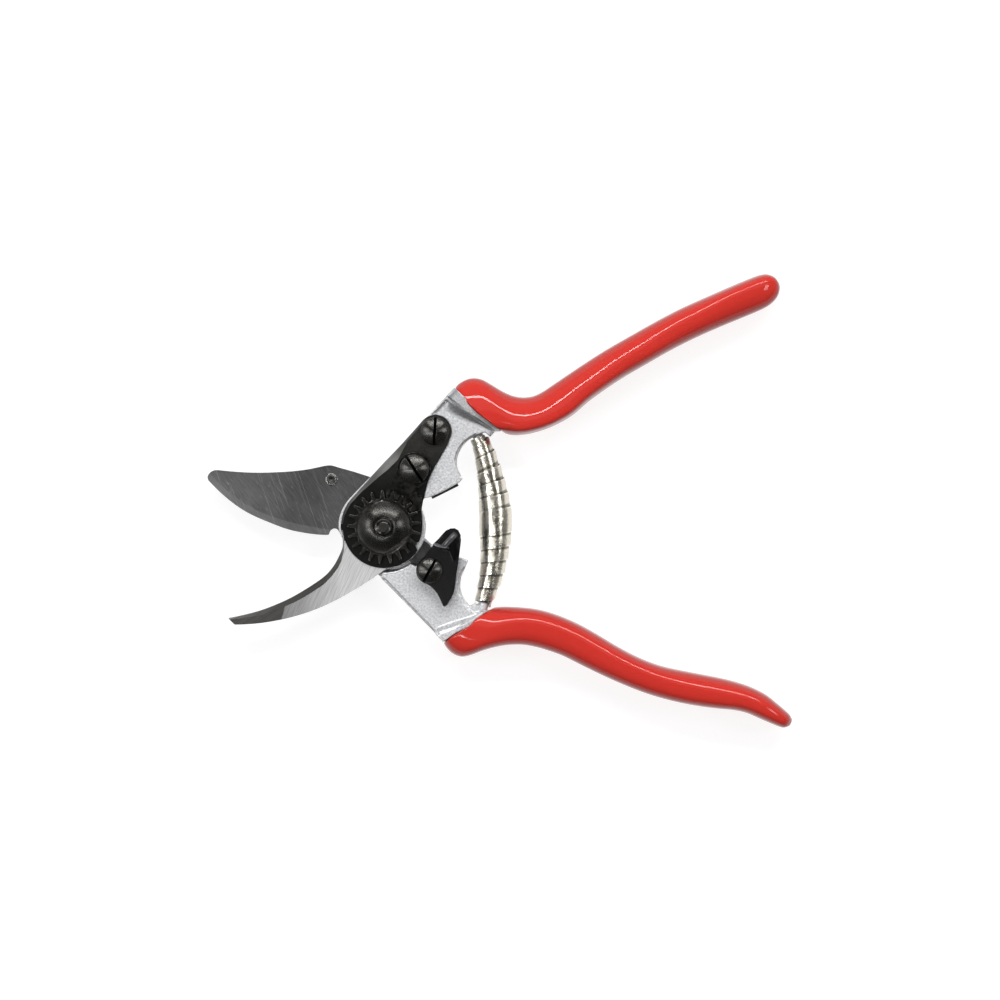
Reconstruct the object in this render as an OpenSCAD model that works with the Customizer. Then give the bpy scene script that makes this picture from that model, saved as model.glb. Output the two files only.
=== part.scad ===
// Bypass pruning shears, shown open and unlocked, lying flat.
// X runs from the blade tips to the ends of the grips, Z is the pivot axis.
// Origin: on the pivot axis, at the level of the surface the shears lie on.

/* [Pivot] */
// Radius of the running part of the pivot bolt
bolt_r = 4; // [3.5:0.1:4.5]
// Radius of the bolt's thread
thread_r = 3; // [2.5:0.1:3.2]
// Radius of the bolt's head
head_r = 10; // [9:0.25:10.5]
// Number of teeth on the adjusting nut
nut_teeth = 21; // [18:1:24]
// Half the distance across the nut's two spanner flats
nut_flat = 6.85; // [6:0.05:7.5]

/* [Blades] */
// Thickness of the cutting blade
blade_t = 3.2; // [2.6:0.1:3.2]
// Angle the shears turn through from open to shut, used to place the catch's notch
shut_angle = 48.5; // [46:0.5:48.5]

/* [Handles] */
// Half the depth of a grip, at right angles to the blades
grip_h = 8.5; // [8.3:0.1:8.5]
// Thickness of the soft coating on the handles
coat = 1.8; // [1.6:0.1:2.2]

/* [Spring] */
// Thickness of the spring's steel strip
strip_t = 0.35; // [0.3:0.05:0.4]
// Number of turns from end to end
turns = 13; // [11:1:14]

/* [Thumb catch] */
// Thickness of the catch's plate
catch_t = 2; // [1.6:0.1:2.2]

/* [Hidden] */
$fn = 96;

// heights of the layers, from the surface upwards
z_mid = 8.5;       // middle plane of both handles
z_low = 3.0;       // underside of the handles
z_bl0 = 6.4;       // underside of the cutting blade
z_bl1 = z_bl0 + blade_t;
z_eye0 = 9.7;      // underside of the upper handle's eye, on the shear plane
z_eye1 = 12.2;     // its top, on which the anvil blade lies
z_arm = 14.2;      // top of the anvil blade's black arm
z_hook = 13.8;     // ground face of the hook
z_seg = 15.9;      // top of the toothed segment
z_uh = 13.4;       // top of the upper handle
z_lh = 14.0;       // top of the lower handle
z_cat = 16.1;      // underside of the catch's plate

// places of the fasteners
anvil_screw_at = [16.5, 31];
seg_screw_at = [9.9, 18.8];
catch_at = [14.9, -14];
lobe_at = [11.5, -8.5];
dowel_at = [-6.2, -10];
stud_at = [-17.1, 15.4];
lug_at = [20.3, -2.4];   // the catch's locking lug, unlocked
catch_turn = 18;
// outline of the rubber buffer, which stands proud of the stop face
buffer = [[15.6, 9.1], [24.2, 13.4], [23.2, 15.1], [14.9, 11]];

alu = [0.74, 0.75, 0.77];
steel = [0.62, 0.63, 0.64];
black = [0.07, 0.07, 0.075];
red = [0.78, 0.09, 0.08];

// ---- curves -------------------------------------------------------------
// a smooth open curve through points, n steps to each span
function cr(a, b, c, d, t) = 0.5 * ((2 * b) + (c - a) * t + (2 * a - 5 * b + 4 * c - d) * t * t
  + (3 * b - a - 3 * c + d) * t * t * t);
function crv(p, n = 4) = let (m = len(p) - 1)
  [for (i = [0 : m - 1]) for (k = [0 : n - 1])
    cr(i == 0 ? 2 * p[0] - p[1] : p[i - 1], p[i], p[i + 1], i == m - 1 ? 2 * p[m] - p[m - 1] : p[i + 2], k / n),
    p[m]];
function rev(p) = [for (i = [len(p) - 1 : -1 : 0]) p[i]];
function pol(r, a) = [r * cos(a), r * sin(a)];
function turned(p, c, a) = let (d = p - c) c + [d[0] * cos(a) - d[1] * sin(a), d[0] * sin(a) + d[1] * cos(a)];

module slab(z0, z1) { translate([0, 0, z0]) linear_extrude(z1 - z0) children(); }
module rod(r, z0, z1, at = [0, 0]) { translate([at[0], at[1], z0]) cylinder(r = r, h = z1 - z0); }

// ---- outlines -----------------------------------------------------------
// grips: pairs of points across the handle, outer side and inner side, from the dip line to the end
ug_a = [[22.9,45.3],[25,47.2],[28,48.4],[31.5,48.1],[35,46.2],[38.5,44.1],[42,42.6],[46,42.15],[50,43.2],
  [55,46.4],[60,49.8],[66,53.8],[72,57.6],[80,62.2],[88,66.7],[96,70.9],[104,74.5],[112,78],[118,80.5],
  [121.5,81.8],[124.2,82.2],[126.6,81.3],[128,79.6]];
ug_b = [[38.4,30.9],[39.2,30.4],[40,30.1],[40.9,29.9],[41.9,29.8],[43,29.75],[44.5,29.85],[48,30.4],[54,32.3],
  [60.8,35.9],[66.3,40.6],[72.1,44.8],[78.2,48.8],[85.5,53],[93,57.3],[100.5,61.1],[108.3,64.6],[115.8,67.7],
  [121.3,70],[124.7,71.7],[126.9,73.6],[128,75.3],[128.5,77]];
lg_a = [[34.2,-26.9],[35.5,-26.2],[37,-25.95],[38.5,-25.85],[40,-25.85],[41.5,-25.9],[43,-25.95],[45,-26.1],
  [48,-26.4],[52,-27.2],[57,-28.8],[63,-31.4],[69,-34.7],[76,-38.9],[83,-42.5],[90,-45.1],[97,-46.65],
  [104,-48],[110,-49.2],[115,-50.5],[119.5,-52.1],[124,-54.4],[127.3,-57],[130,-59.3],[131.6,-60.8],[132.3,-62]];
lg_b = [[19,-37.4],[20.2,-39.3],[22.2,-41.2],[25,-42.2],[28,-41.7],[31.5,-40.4],[35.5,-39.2],[40,-38.4],
  [45,-38.3],[49.5,-39.1],[53,-40.1],[58,-41.9],[64,-44.9],[71,-48.3],[78.5,-51.6],[86.5,-54.6],[95,-56.9],
  [102.5,-58.3],[108.5,-59.05],[113.3,-59.5],[117.5,-60.4],[121.5,-62.1],[125,-63.6],[127.7,-64.7],
  [129.6,-65.25],[131.2,-64.9]];
ug_tip = [128.9, 78.4];
lg_tip = [132.5, -63.6];

// left edge of the upper handle, from the grip down round the pivot eye
uh_left = [[22.6,44.9],[18,40],[13.5,35.3],[10,31.5],[5,26],[0,20.8],[-4.5,16.2],[-9,11.6],[-12.5,7.6],
  [-14.3,3.8],[-14.8,0.5],[-14.2,-2.2],[-13,-4.2]];
// right edge: spring hollow and the stop, up to the grip
uh_right = [[13.2,9.4],[15,9.75],[17,10.6],[20,12],[24.3,14.4]];
uh_hollow = [[25.4,15.6],[24.7,17.2],[23.8,19],[23.6,21.5],[24.2,24],[25.6,26.5],[27.4,28.3],[29.6,29.6],[32,30.6],[35,31],[38,31.1]];
lh_hollow = [[27.3,-10.9],[26.3,-13.2],[25.2,-15.8],[24.7,-18.5],[25,-21.2],[26.2,-23.7],[28,-25.8],[30.2,-27.1],[32.4,-27.6],[33.9,-26.95]];

// cutting blade: spine from the pivot to the tip, then the cutting edge back to the wire notch
cb_spine = [[3,14.2],[-1,15.4],[-5,16.4],[-10,18],[-15,19.4],[-17,20],[-18.5,20],[-20,19.75],[-22,19.3],[-25,18.7],[-30,18.1],
  [-35,17.8],[-40,17.65],[-45,17.75],[-50,18.1],[-54,18.5],[-55.5,18.35],[-56.7,17.6],[-57.4,16.4],[-57.2,15.2]];
cb_edge = [[-57.2,15.2],[-55,12.9],[-52,10.1],[-48.5,7.3],[-45,5],[-41,3],[-37,1.35],[-33,-0.2],[-30,-1.1],[-27,-1.7],[-24,-2.2],
  [-21,-2.5],[-19,-2.6],[-18.1,-2.5]];
cb_bevel = [[-56,17.2],[-52,15.2],[-48,13],[-44,11],[-41,9.4],[-37.5,7.9],[-34,6.6],[-31,5.6],[-28.5,4.9],[-26,4.4],[-23.5,4],
  [-21,3.8],[-19,3.6],[-18.1,3.5]];
cb_notch = [[-18.1,-2.5],[-17.6,-1.3],[-17,-0.75],[-16.3,-0.5],[-15.6,-0.6],[-15,-1],[-14.3,-2.2],[-13.5,-3.8]];
// hook: inner edge, tip, outer edge, and the inner limit of its bevel
hk_in = [[-13.9,-1],[-13.4,-4.5],[-13.6,-7],[-14.9,-10],[-16.3,-12.5],[-18.3,-15],[-20.8,-17.1],[-25.2,-20],[-30,-22.8],[-35,-25.1],
  [-40.3,-27.1],[-46,-28.6],[-50.5,-29.5]];
hk_bevel = [[-13.3,-1],[-12.8,-4.5],[-12.9,-7.4],[-13.7,-10.8],[-14.8,-13.2],[-16.8,-15.8],[-19.4,-18.5],[-24,-21.6],[-29,-24.4],
  [-34.4,-26.7],[-39.8,-28.4],[-45.8,-29.5],[-50.1,-30]];
hk_out = [[-48.3,-31.6],[-45,-31.5],[-40,-31.1],[-35,-30.3],[-30,-29.2],[-25,-27.7],[-20,-25.8],[-15,-23.4],[-10,-20.6],[-5,-17.5],
  [-2,-15.4],[2,-12.6]];
// black arm of the anvil blade, right edge from its screw end to the pivot
arm_left = [[6.6,27.9],[5,26.2],[2,22.9],[-1,19.8],[-4.2,16.3],[-8.4,11.6],[-11.8,7.6],[-13.4,4],[-13.9,1]];
arm_ridge = [[7.4,27.2],[6.2,25],[4.6,21.9],[1.6,18.9],[-2.6,15.4],[-7.3,11.3],[-10.9,7.4],[-12.7,3.9],[-13.3,1]];
arm_right = [[21.3,28.8],[20.4,26.5],[17.8,22],[15.2,17.2],[13.6,12.5],[12.6,8],[12.2,5.5]];

catch_edge = [[11.4,-11.8],[13.5,-9],[16,-5.8],[18,-3.4],[20,-1.2],[21.5,-0.35],[23,-0.2],[24.3,-1],[25,-2.5],[25,-4.5],
  [24.6,-8],[24.2,-11],[23.7,-14],[23.3,-17],[23,-19.5],[22.5,-21.5],[21.5,-23.4],[20.5,-25],[20,-25.6],[19.3,-25.5],
  [18.8,-24.5],[18,-22.7],[17,-21],[15.5,-19.4],[13.8,-18.2]];

spring_axis = [[30.6,29],[32.2,25],[33.5,20.5],[34.7,15],[35.5,10],[36,5],[36.1,0],[36,-5],[35.6,-10],[34.8,-15],[33.5,-20],[32,-25.3]];

// ---- solids swept across the grips -------------------------------------
sides = 24;
// one ring: a rounded box section between points a and b, half depth h, roundness p
function ring(a, b, h, p) = let (c = (a + b) / 2, u = (b - a) / 2)
  [for (k = [0 : sides - 1]) let (t = 360 * k / sides, cc = cos(t), ss = sin(t),
     x = sign(cc) * pow(abs(cc), 2 / p), z = sign(ss) * pow(abs(ss), 2 / p))
    [c[0] + u[0] * x, c[1] + u[1] * x, z_mid + h * z]];
function drawn_in(a, b, d) = a + (b - a) * d / norm(b - a);
// half depth along a grip: full, easing down at the closed end
function depth(i, n, h) = i > n - 6 ? h * sqrt(max(0.06, 1 - pow((i - n + 6) / 6.4, 2))) : h;

module sleeve(a, b, tip, h, wall, skip) {
  n = len(a) - 1;
  m = n - skip;                     // the core stops short of the closed end
  outer = [for (i = [0 : n]) each ring(a[i], b[i], depth(i, n, h), 2.6)];
  inner = [for (i = [0 : m]) each ring(drawn_in(a[i], b[i], wall), drawn_in(b[i], a[i], wall), 5.6, 8)];
  o = len(outer);
  e = o + len(inner);
  pts = concat(outer, inner, [[tip[0], tip[1], z_mid]],
    [let (q = (a[m] + b[m]) / 2) [q[0], q[1], z_mid]]);
  faces = concat(
    [for (i = [0 : n - 1]) for (k = [0 : sides - 1]) let (j = (k + 1) % sides)
      each [[i * sides + k, (i + 1) * sides + k, (i + 1) * sides + j], [i * sides + k, (i + 1) * sides + j, i * sides + j]]],
    [for (k = [0 : sides - 1]) let (j = (k + 1) % sides) [n * sides + k, e, n * sides + j]],
    [for (k = [0 : sides - 1]) let (j = (k + 1) % sides) each [[k, j, o + j], [k, o + j, o + k]]],
    [for (i = [0 : m - 1]) for (k = [0 : sides - 1]) let (j = (k + 1) % sides)
      each [[o + i * sides + k, o + (i + 1) * sides + j, o + (i + 1) * sides + k], [o + i * sides + k, o + i * sides + j, o + (i + 1) * sides + j]]],
    [for (k = [0 : sides - 1]) let (j = (k + 1) % sides) [o + m * sides + k, o + m * sides + j, e + 1]]);
  polyhedron(pts, [for (f = faces) [f[2], f[1], f[0]]], convexity = 6);
}

// the handle's tongue inside the coating
module tongue(a, b, back, wall, skip) {
  n = len(a) - 1 - skip;
  polygon(concat([drawn_in(a[0], b[0], wall) + back], [for (i = [0 : n]) drawn_in(a[i], b[i], wall)],
    [for (i = [n : -1 : 0]) drawn_in(b[i], a[i], wall)], [drawn_in(b[0], a[0], wall) + back]));
}

// a wedge along an edge: e = points on the edge, f = where the bevel ends on the face
module bevel_cut(e, f, z_e, z_f, away) {
  n = len(e) - 1;
  p = [for (i = [0 : n]) let (u = (e[i] - f[i]) / norm(e[i] - f[i]), s = (z_e - z_f) / norm(e[i] - f[i]), q = e[i] + 3 * u)
    each [[q[0], q[1], z_e + 3 * s], [e[i][0], e[i][1], z_e], [f[i][0], f[i][1], z_f], [f[i][0], f[i][1], z_f + away], [q[0], q[1], z_f + away]]];
  polyhedron(p, concat(
    [for (i = [0 : n - 1]) for (k = [0 : 4]) let (j = (k + 1) % 5)
      each (away > 0 ? [[5 * i + k, 5 * i + 5 + k, 5 * i + 5 + j], [5 * i + k, 5 * i + 5 + j, 5 * i + j]]
                     : [[5 * i + k, 5 * i + 5 + j, 5 * i + 5 + k], [5 * i + k, 5 * i + j, 5 * i + 5 + j]])],
    [for (k = [0 : 2]) each (away > 0 ? [[4, k, k + 1], [5 * n + 4, 5 * n + k + 1, 5 * n + k]]
                                      : [[4, k + 1, k], [5 * n + 4, 5 * n + k, 5 * n + k + 1]])]), convexity = 4);
}

// ---- upper handle and what is fixed to it ------------------------------
// where the hook's root takes the place of the eye
module hook_seat(r) {
  difference() {
    polygon([[0, 0], pol(30, 192), pol(90, 205), pol(90, 235), pol(30, 279)]);
    circle(r);
  }
}
module keyed_hole(r, flat) { intersection() { circle(r); square([4 * r, 2 * flat], center = true); } }

module upper_eye_plan() {
  difference() {
    union() {
      circle(13.6);
      polygon(concat(crv(uh_left, 3), [[0, -5], [13.2, 9.4], [16, 20], [22, 30], [33, 36]]));
    }
    hook_seat(10.5);
    keyed_hole(bolt_r + 0.05, 3.25);
  }
}
module upper_body_plan() {
  difference() {
    polygon(concat(crv([for (i = [0 : 6]) uh_left[i]], 3), [[4, 14], [10, 12]], crv(uh_right, 3), crv(uh_hollow, 3)));
    circle(15.2);
    polygon([[-20, 30], [-20, 0], [0, 0], [6, 15.5], [2.5, 19.5], [-1, 23]]);  // room for the blade's spine
  }
}
module arm_plan(grow = 0) {
  difference() {
    union() {
      translate(anvil_screw_at) circle(5.3 + grow);
      polygon(concat(crv([[12.6,34.6],[10,31.6],[5,26.1],[0,20.9],[-4.2,16.3],[-8.4,11.6],[-11.8,7.6],[-13.4,4],[-13.9,1],[-13.9,-1],[-13.3,-4]], 3),
        [[0, -8], [9.8, -5.2], [11.4, -4.7], [12, -3.1], [12.4, -1], [12.5, 1.2], [12.4, 3.4], [12.2, 5.5]], rev(crv(arm_right, 3))));
      difference() {
        circle(13.3);
        polygon([[0, 0], [9.8, -5.2], [11.6, -9.2], [20, -9], [20, 6], [12.2, 5.5], [12.4, 3.4], [12.5, 1.2], [12.4, -1], [12, -3.1], [11.4, -4.7]]);
      }
    }
    keyed_hole(bolt_r + 0.05, 3.25);
  }
}

module upper_handle() color(alu) difference() {
  union() {
    slab(z_eye0, z_eye1) upper_eye_plan();
    slab(z_low, z_uh - 1.6) upper_body_plan();
    slab(z_low + 1, z_uh) difference() {
      upper_body_plan();
      polygon([[10, 30.1], [16.3, 36.9], [18.8, 39.4], [23.5, 43.9], [18, 50], [0, 40]]);   // lower border strip
      polygon([[22.9, 21.5], [23.4, 19.2], [24.6, 16.4], [30, 16], [30, 30.5], [27.2, 28.9], [24.9, 26.9], [23.4, 24.2]]);
    }
    slab(z_mid - 5.0, z_mid + 5.0) tongue(ug_a, ug_b, [-2.5, -3], coat + 0.7, 5);
    slab(z_mid - 3.9, z_mid + 3.9) tongue(ug_a, ug_b, [-2.5, -3], coat + 0.15, 5);
    // thick flange where the coating starts
    slab(2.2, 14.5) polygon([[21.7,43.6],[19.9,41.4],[25,37.6],[30.5,33.9],[35.4,31.1],[37.6,31.1],[28,38]]);
    slab(1.6, 15.4) polygon([[22.4,44.4],[20.6,42.5],[27,37.6],[33,33.4],[36,31.2],[37.9,31.2],[22.8,45.25]]);
    // peg that holds the spring's end
    translate([29.9, 30.9, z_mid]) rotate([0, 90, -68]) cylinder(r = 1.7, h = 4.4);
  }
  slab(z_eye1, 20) arm_plan(0.05);
  rod(2.5, 5, 20, anvil_screw_at);
  rod(2.5, 5, 20, seg_screw_at);
  slab(5.5, 11.5) polygon(buffer);   // seat of the rubber buffer
}

module upper_grip() color(red) sleeve(ug_a, ug_b, ug_tip, grip_h, coat, 4);

module anvil_blade() color(black) difference() {
  union() {
    slab(z_eye1, z_arm) arm_plan();
    slab(z_eye0, z_hook) intersection() {
      polygon(concat(crv(hk_in, 3), crv(hk_out, 3)));
      hook_seat(10.55);
    }
  }
  bevel_cut(hk_in, hk_bevel, z_hook - 2.2, z_hook, 3);
  bevel_cut(arm_left, arm_ridge, z_arm - 1.1, z_arm, 3);
  rod(2.3, 5, 20, anvil_screw_at);
  rod(2.3, 5, 20, seg_screw_at);
}

// slotted cheese-head screw with a domed head; z is the underside of the head
module slotted_screw(at, z, head, shank, len, turn, h = 2.7) {
  translate([at[0], at[1], z]) difference() {
    union() {
      rotate_extrude() polygon(concat([[0, 0], [head, 0], [head, h * 0.45]],
        [for (k = [1 : 6]) [head * cos(k * 15), h * 0.45 + h * 0.55 * sin(k * 15)]]));
      translate([0, 0, -len]) cylinder(r = shank, h = len + 0.1);
    }
    rotate(turn) translate([-head - 1, -0.45, h - 1.3]) cube([2 * head + 2, 0.9, 3]);
  }
}
module anvil_screw() color(black) slotted_screw(anvil_screw_at, z_arm, 4.6, 2.2, 8.2, 87);
module segment_screw() color(black) slotted_screw(seg_screw_at, z_seg, 4.7, 2.2, 9.8, -57);

// outline of the nut's teeth; g widens each tooth for the segment's matching gaps
function teeth(ri, ro, g) = [for (i = [0 : nut_teeth - 1]) let (a = 92.5 + i * 360 / nut_teeth, w = g / ro * 57.3)
  each [pol(ri, a - 5.2 - w), pol(ro, a - 2.6 - w), pol(ro, a + 2.6 + w), pol(ri, a + 5.2 + w)]];

module toothed_segment() color(black) slab(z_arm, z_seg) difference() {
  union() {
    translate(seg_screw_at) circle(5.4);
    polygon(concat(crv([[4.8,20.4],[4.3,18],[3,15.5],[2.3,14],[1.9,12.6],[1,11.7]], 3),
      [pol(9.75, 85), pol(9.75, 70), pol(9.75, 50), pol(9.75, 35), pol(9.75, 24), [12.1, 5.6], [12.2, 8], [12.8, 12], [13.9, 16], [15.1, 19.5]]));
  }
  polygon(teeth(9.5, 12.25, 0.15));
  circle(9.6);
  rotate(0) translate(seg_screw_at) circle(2.3);
  // scallop for the catch's lug, where it lies when the shears are shut and locked
  for (k = [catch_turn : -2 : 4])
    translate(turned(turned(lug_at, catch_at, k), [0, 0], shut_angle)) circle(1.3);
}

module pivot_bolt() color(black) union() {
  rotate_extrude() polygon([[0, 0], [5.5, 0], [7.6, 0.35], [9.2, 1.1], [head_r, 2.2], [head_r, 2.9], [0, 2.9]]);
  rod(bolt_r, 2.8, z_eye0);
  intersection() {
    rod(bolt_r, z_eye0 - 0.1, z_arm);
    translate([-6, -3.2, 0]) cube([12, 6.4, 20]);
  }
  rod(thread_r - 0.05, z_arm - 0.1, 18.2);
  translate([0, 0, 18.2]) cylinder(r1 = thread_r - 0.05, r2 = 1.6, h = 0.9);
}
module pivot_nut() color(black) difference() {
  union() {
    slab(z_arm, z_seg) union() { polygon(teeth(9.4, 11.9, 0)); circle(9.45); }
    intersection() {
      translate([0, 0, z_seg - 0.01]) rotate_extrude() polygon([[0, 0], [8.7, 0], [8.7, 0.5], [8.2, 1.4], [7.2, 2.3], [5.8, 3.1], [4.4, 3.6], [3.5, 3.75], [0, 3.75]]);
      rotate(38) translate([-15, -nut_flat, 0]) cube([30, 2 * nut_flat, 30]);
    }
  }
  rod(thread_r, 0, 30);
  rod(3.4, 18, 30);
}
module pivot_washer() color(steel) difference() { rod(7.2, 2.9, 3.35); rod(bolt_r + 0.08, 0, 5); }
module stop_buffer() color([0.1, 0.1, 0.1]) slab(5.5, 11.5) polygon(buffer);

// double volute: one steel strip wound from a narrow end to a wide middle and back
function ax(s) = let (m = len(spring_axis) - 1, f = min(m - 0.0001, max(0, s * m)), i = floor(f))
  cr(i == 0 ? 2 * spring_axis[0] - spring_axis[1] : spring_axis[i - 1], spring_axis[i], spring_axis[i + 1],
    i == m - 1 ? 2 * spring_axis[m] - spring_axis[m - 1] : spring_axis[i + 2], f - i);
function swell(s) = 2.45 + 3.0 * pow(sin(180 * s), 0.8);
module return_spring() color([0.8, 0.79, 0.75]) {
  per = 20;
  n = turns * per;
  w = 1.75;   // half width of the strip
  pts = [for (i = [0 : n]) let (s = i / n, c = ax(0.03 + 0.94 * s), d = (ax(0.035 + 0.94 * s) - ax(0.025 + 0.94 * s)),
      u = d / norm(d), v = [-u[1], u[0]], a = 360 * i / per, r = swell(s))
    each [for (q = [[r, -w], [r, w], [r - strip_t, w], [r - strip_t, -w]])
      [c[0] + v[0] * q[0] * cos(a) + u[0] * q[1], c[1] + v[1] * q[0] * cos(a) + u[1] * q[1], z_mid + q[0] * sin(a)]]];
  polyhedron(pts, concat(
    [for (i = [0 : n - 1]) for (k = [0 : 3]) let (j = (k + 1) % 4)
      each [[4 * i + k, 4 * i + 4 + j, 4 * i + 4 + k], [4 * i + k, 4 * i + j, 4 * i + 4 + j]]],
    [[0, 2, 1], [0, 3, 2], [4 * n, 4 * n + 1, 4 * n + 2], [4 * n, 4 * n + 2, 4 * n + 3]]), convexity = 20);
}

// ---- lower handle and what is fixed to it ------------------------------
stop_line = [[16.4, -6.3], [27.3, -10.9]];
module lower_body_plan() {
  difference() {
    polygon(concat([[-1.0, -16.5], pol(13, 269), pol(13, 300), pol(13, 322), pol(15.5, 335)], stop_line, crv(lh_hollow, 3), [[19.2, -37.0]]));
    circle(14.7);
    translate(lobe_at) circle(4.35);
  }
}
module lower_handle() color(alu) difference() {
  union() {
    slab(z_low, z_bl0) union() {
      circle(13.2);
      polygon([[-2, -15.6], [-1, -10], [10, -1], [16.4, -6.3], [20, -12], [10, -25]]);
    }
    slab(z_low, z_lh - 1.0) lower_body_plan();
    slab(z_low + 1, z_lh) difference() {
      lower_body_plan();
      circle(15.3);
      polygon([[-3, -16], [0.4, -16.6], [20.3, -37.3], [18, -40], [-6, -16]]);
      polygon(concat([[27.9, -12], [26.6, -12.4]], [[25.3, -13.9], [24.1, -16.3], [23.6, -18.7], [23.9, -21.5], [25.3, -24.4], [27.4, -26.7], [29.5, -27.9]], [[36, -26], [36, -12]]));
    }
    slab(z_mid - 5.0, z_mid + 5.0) tongue(lg_a, lg_b, [-3, 3.5], coat + 0.7, 5);
    slab(z_mid - 3.9, z_mid + 3.9) tongue(lg_a, lg_b, [-3, 3.5], coat + 0.15, 5);
    slab(2.2, 14.8) polygon([[18.6,-36.6],[16.4,-34.3],[23,-32.1],[28.9,-29.9],[30.6,-27.9],[33,-27.5],[28,-30.9]]);
    slab(1.6, 15.6) polygon([[18.8,-36.8],[17.4,-35.2],[24,-32.3],[29.5,-29.2],[31.2,-27.6],[33,-27.5],[33.9,-26.95],[19.1,-37.2]]);
    translate([31.1, -28.6, z_mid]) rotate([0, 90, 72]) cylinder(r = 1.7, h = 4.4);
  }
  rod(5.5, 0, 20);
  rod(7.4, 0, 3.4);
  rod(1.5, 3.8, 20, dowel_at);
  rod(2.2, 0, 20, lobe_at);
  translate([lobe_at[0], lobe_at[1], z_low - 0.01]) cylinder(r1 = 3.4, r2 = 2.2, h = 1.25);
  rod(1.9, 6, 20, catch_at);
}
module lower_grip() color(red) sleeve(lg_a, lg_b, lg_tip, grip_h, coat, 4);

module cutting_blade() color(steel) difference() {
  slab(z_bl0, z_bl1) difference() {
    union() {
      polygon(concat(crv(cb_spine, 2), crv(cb_edge, 2), crv(cb_notch, 2), [[0, -8], [8, 8]]));
      circle(13.2);
      translate(lobe_at) circle(4.2);
    }
    circle(5.5);
    translate(dowel_at) circle(1.5);
    translate(lobe_at) circle(1.7);
    translate(stud_at) circle(1.3);
  }
  bevel_cut(crv(cb_edge, 2), crv(cb_bevel, 2), z_bl1 - 0.25, z_bl0, -3);
}
module blade_screw() color(steel) difference() {
  translate([lobe_at[0], lobe_at[1], 0]) union() {
    translate([0, 0, z_low]) cylinder(r1 = 3.3, r2 = 1.7, h = 1.7);
    translate([0, 0, z_low + 1.6]) cylinder(r = 1.7, h = z_bl1 - z_low - 1.7);
  }
  translate([lobe_at[0] - 4, lobe_at[1] - 0.4, z_low - 1]) cube([8, 0.8, 1.8]);
}
module blade_dowel() color(steel) rod(1.5, 3.8, z_bl1 - 0.1, dowel_at);
module blade_stud() color(steel) translate([stud_at[0], stud_at[1], 0]) rotate_extrude()
  polygon([[0, z_bl0], [1.3, z_bl0], [1.3, z_bl1 - 0.35], [1.05, z_bl1 - 0.1], [0, z_bl1 - 0.02]]);
module pivot_bush() color([0.72, 0.55, 0.3]) difference() { rod(5.5, 3.45, z_bl1); rod(bolt_r + 0.05, 0, 20); }

module catch_screw() color(black) union() {
  slotted_screw(catch_at, z_cat + catch_t + 0.1, 4.1, 2.25, catch_t + 2.1, 61, 2.4);
  rod(1.85, 7, z_lh + 0.2, catch_at);
}
module catch_washer() color(steel) difference() { rod(4.1, z_lh, z_lh + 0.5, catch_at); rod(2.35, 0, 30, catch_at); }

// ---- thumb catch --------------------------------------------------------
module thumb_catch() color(black) difference() {
  union() {
    slab(z_cat, z_cat + catch_t) union() {
      intersection() {
        polygon(crv(catch_edge, 3));
        translate(catch_at) circle(14.5);
      }
      translate(catch_at) circle(4.4);
    }
    rod(4.1, z_lh + 0.6, z_cat + 0.1, catch_at);
    rod(1.0, z_arm + 0.2, z_cat + 0.1, lug_at);
    // thumb rest
    hull() {
      slab(z_cat + 1, z_cat + 1.9) polygon([[16.4,-6.0],[18.5,-3.6],[20,-2],[21.4,-1.8],[22.4,-2.2],[23.6,-3.6],[24.2,-5.5],[23.4,-8],[19.6,-7.2]]);
      slab(z_cat + 2.5, z_cat + 2.8) polygon([[18.5,-4],[20,-1.4],[21.5,-0.4],[23,-0.3],[24.2,-1],[24.8,-2.5],[24.6,-4.5],[23,-7],[19.6,-6.8]]);
      slab(z_cat + 3.6, z_cat + 4.2) polygon([[19.8,-5.6],[22.2,-2.7],[22.9,-2.6],[23.2,-3.2],[21,-6.1]]);
    }
  }
  rod(2.3, 0, 30, catch_at);
}

upper_handle();
upper_grip();
anvil_blade();
anvil_screw();
toothed_segment();
segment_screw();
pivot_bolt();
pivot_nut();
pivot_washer();
stop_buffer();
return_spring();
lower_handle();
lower_grip();
cutting_blade();
blade_screw();
blade_dowel();
blade_stud();
pivot_bush();
catch_screw();
catch_washer();
thumb_catch();
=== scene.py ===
import math
import bpy
import bmesh
import numpy as np
from mathutils import Matrix, Vector

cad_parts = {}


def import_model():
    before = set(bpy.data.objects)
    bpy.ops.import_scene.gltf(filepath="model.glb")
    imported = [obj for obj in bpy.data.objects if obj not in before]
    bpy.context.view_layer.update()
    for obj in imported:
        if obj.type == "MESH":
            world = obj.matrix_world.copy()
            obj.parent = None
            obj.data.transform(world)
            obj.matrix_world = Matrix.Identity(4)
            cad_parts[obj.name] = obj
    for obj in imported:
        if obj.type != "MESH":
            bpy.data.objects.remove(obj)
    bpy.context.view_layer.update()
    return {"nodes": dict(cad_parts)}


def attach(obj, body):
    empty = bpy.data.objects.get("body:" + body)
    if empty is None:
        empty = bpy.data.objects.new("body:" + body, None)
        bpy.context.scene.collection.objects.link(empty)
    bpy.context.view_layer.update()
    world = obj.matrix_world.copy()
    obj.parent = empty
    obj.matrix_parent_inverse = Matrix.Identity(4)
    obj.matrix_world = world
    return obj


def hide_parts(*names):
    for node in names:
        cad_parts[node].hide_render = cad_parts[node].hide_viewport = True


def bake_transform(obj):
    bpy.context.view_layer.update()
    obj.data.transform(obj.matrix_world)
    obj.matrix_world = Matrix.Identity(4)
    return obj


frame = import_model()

MM = 0.001
NODES = frame["nodes"]
ZMID = 8.5

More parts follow.
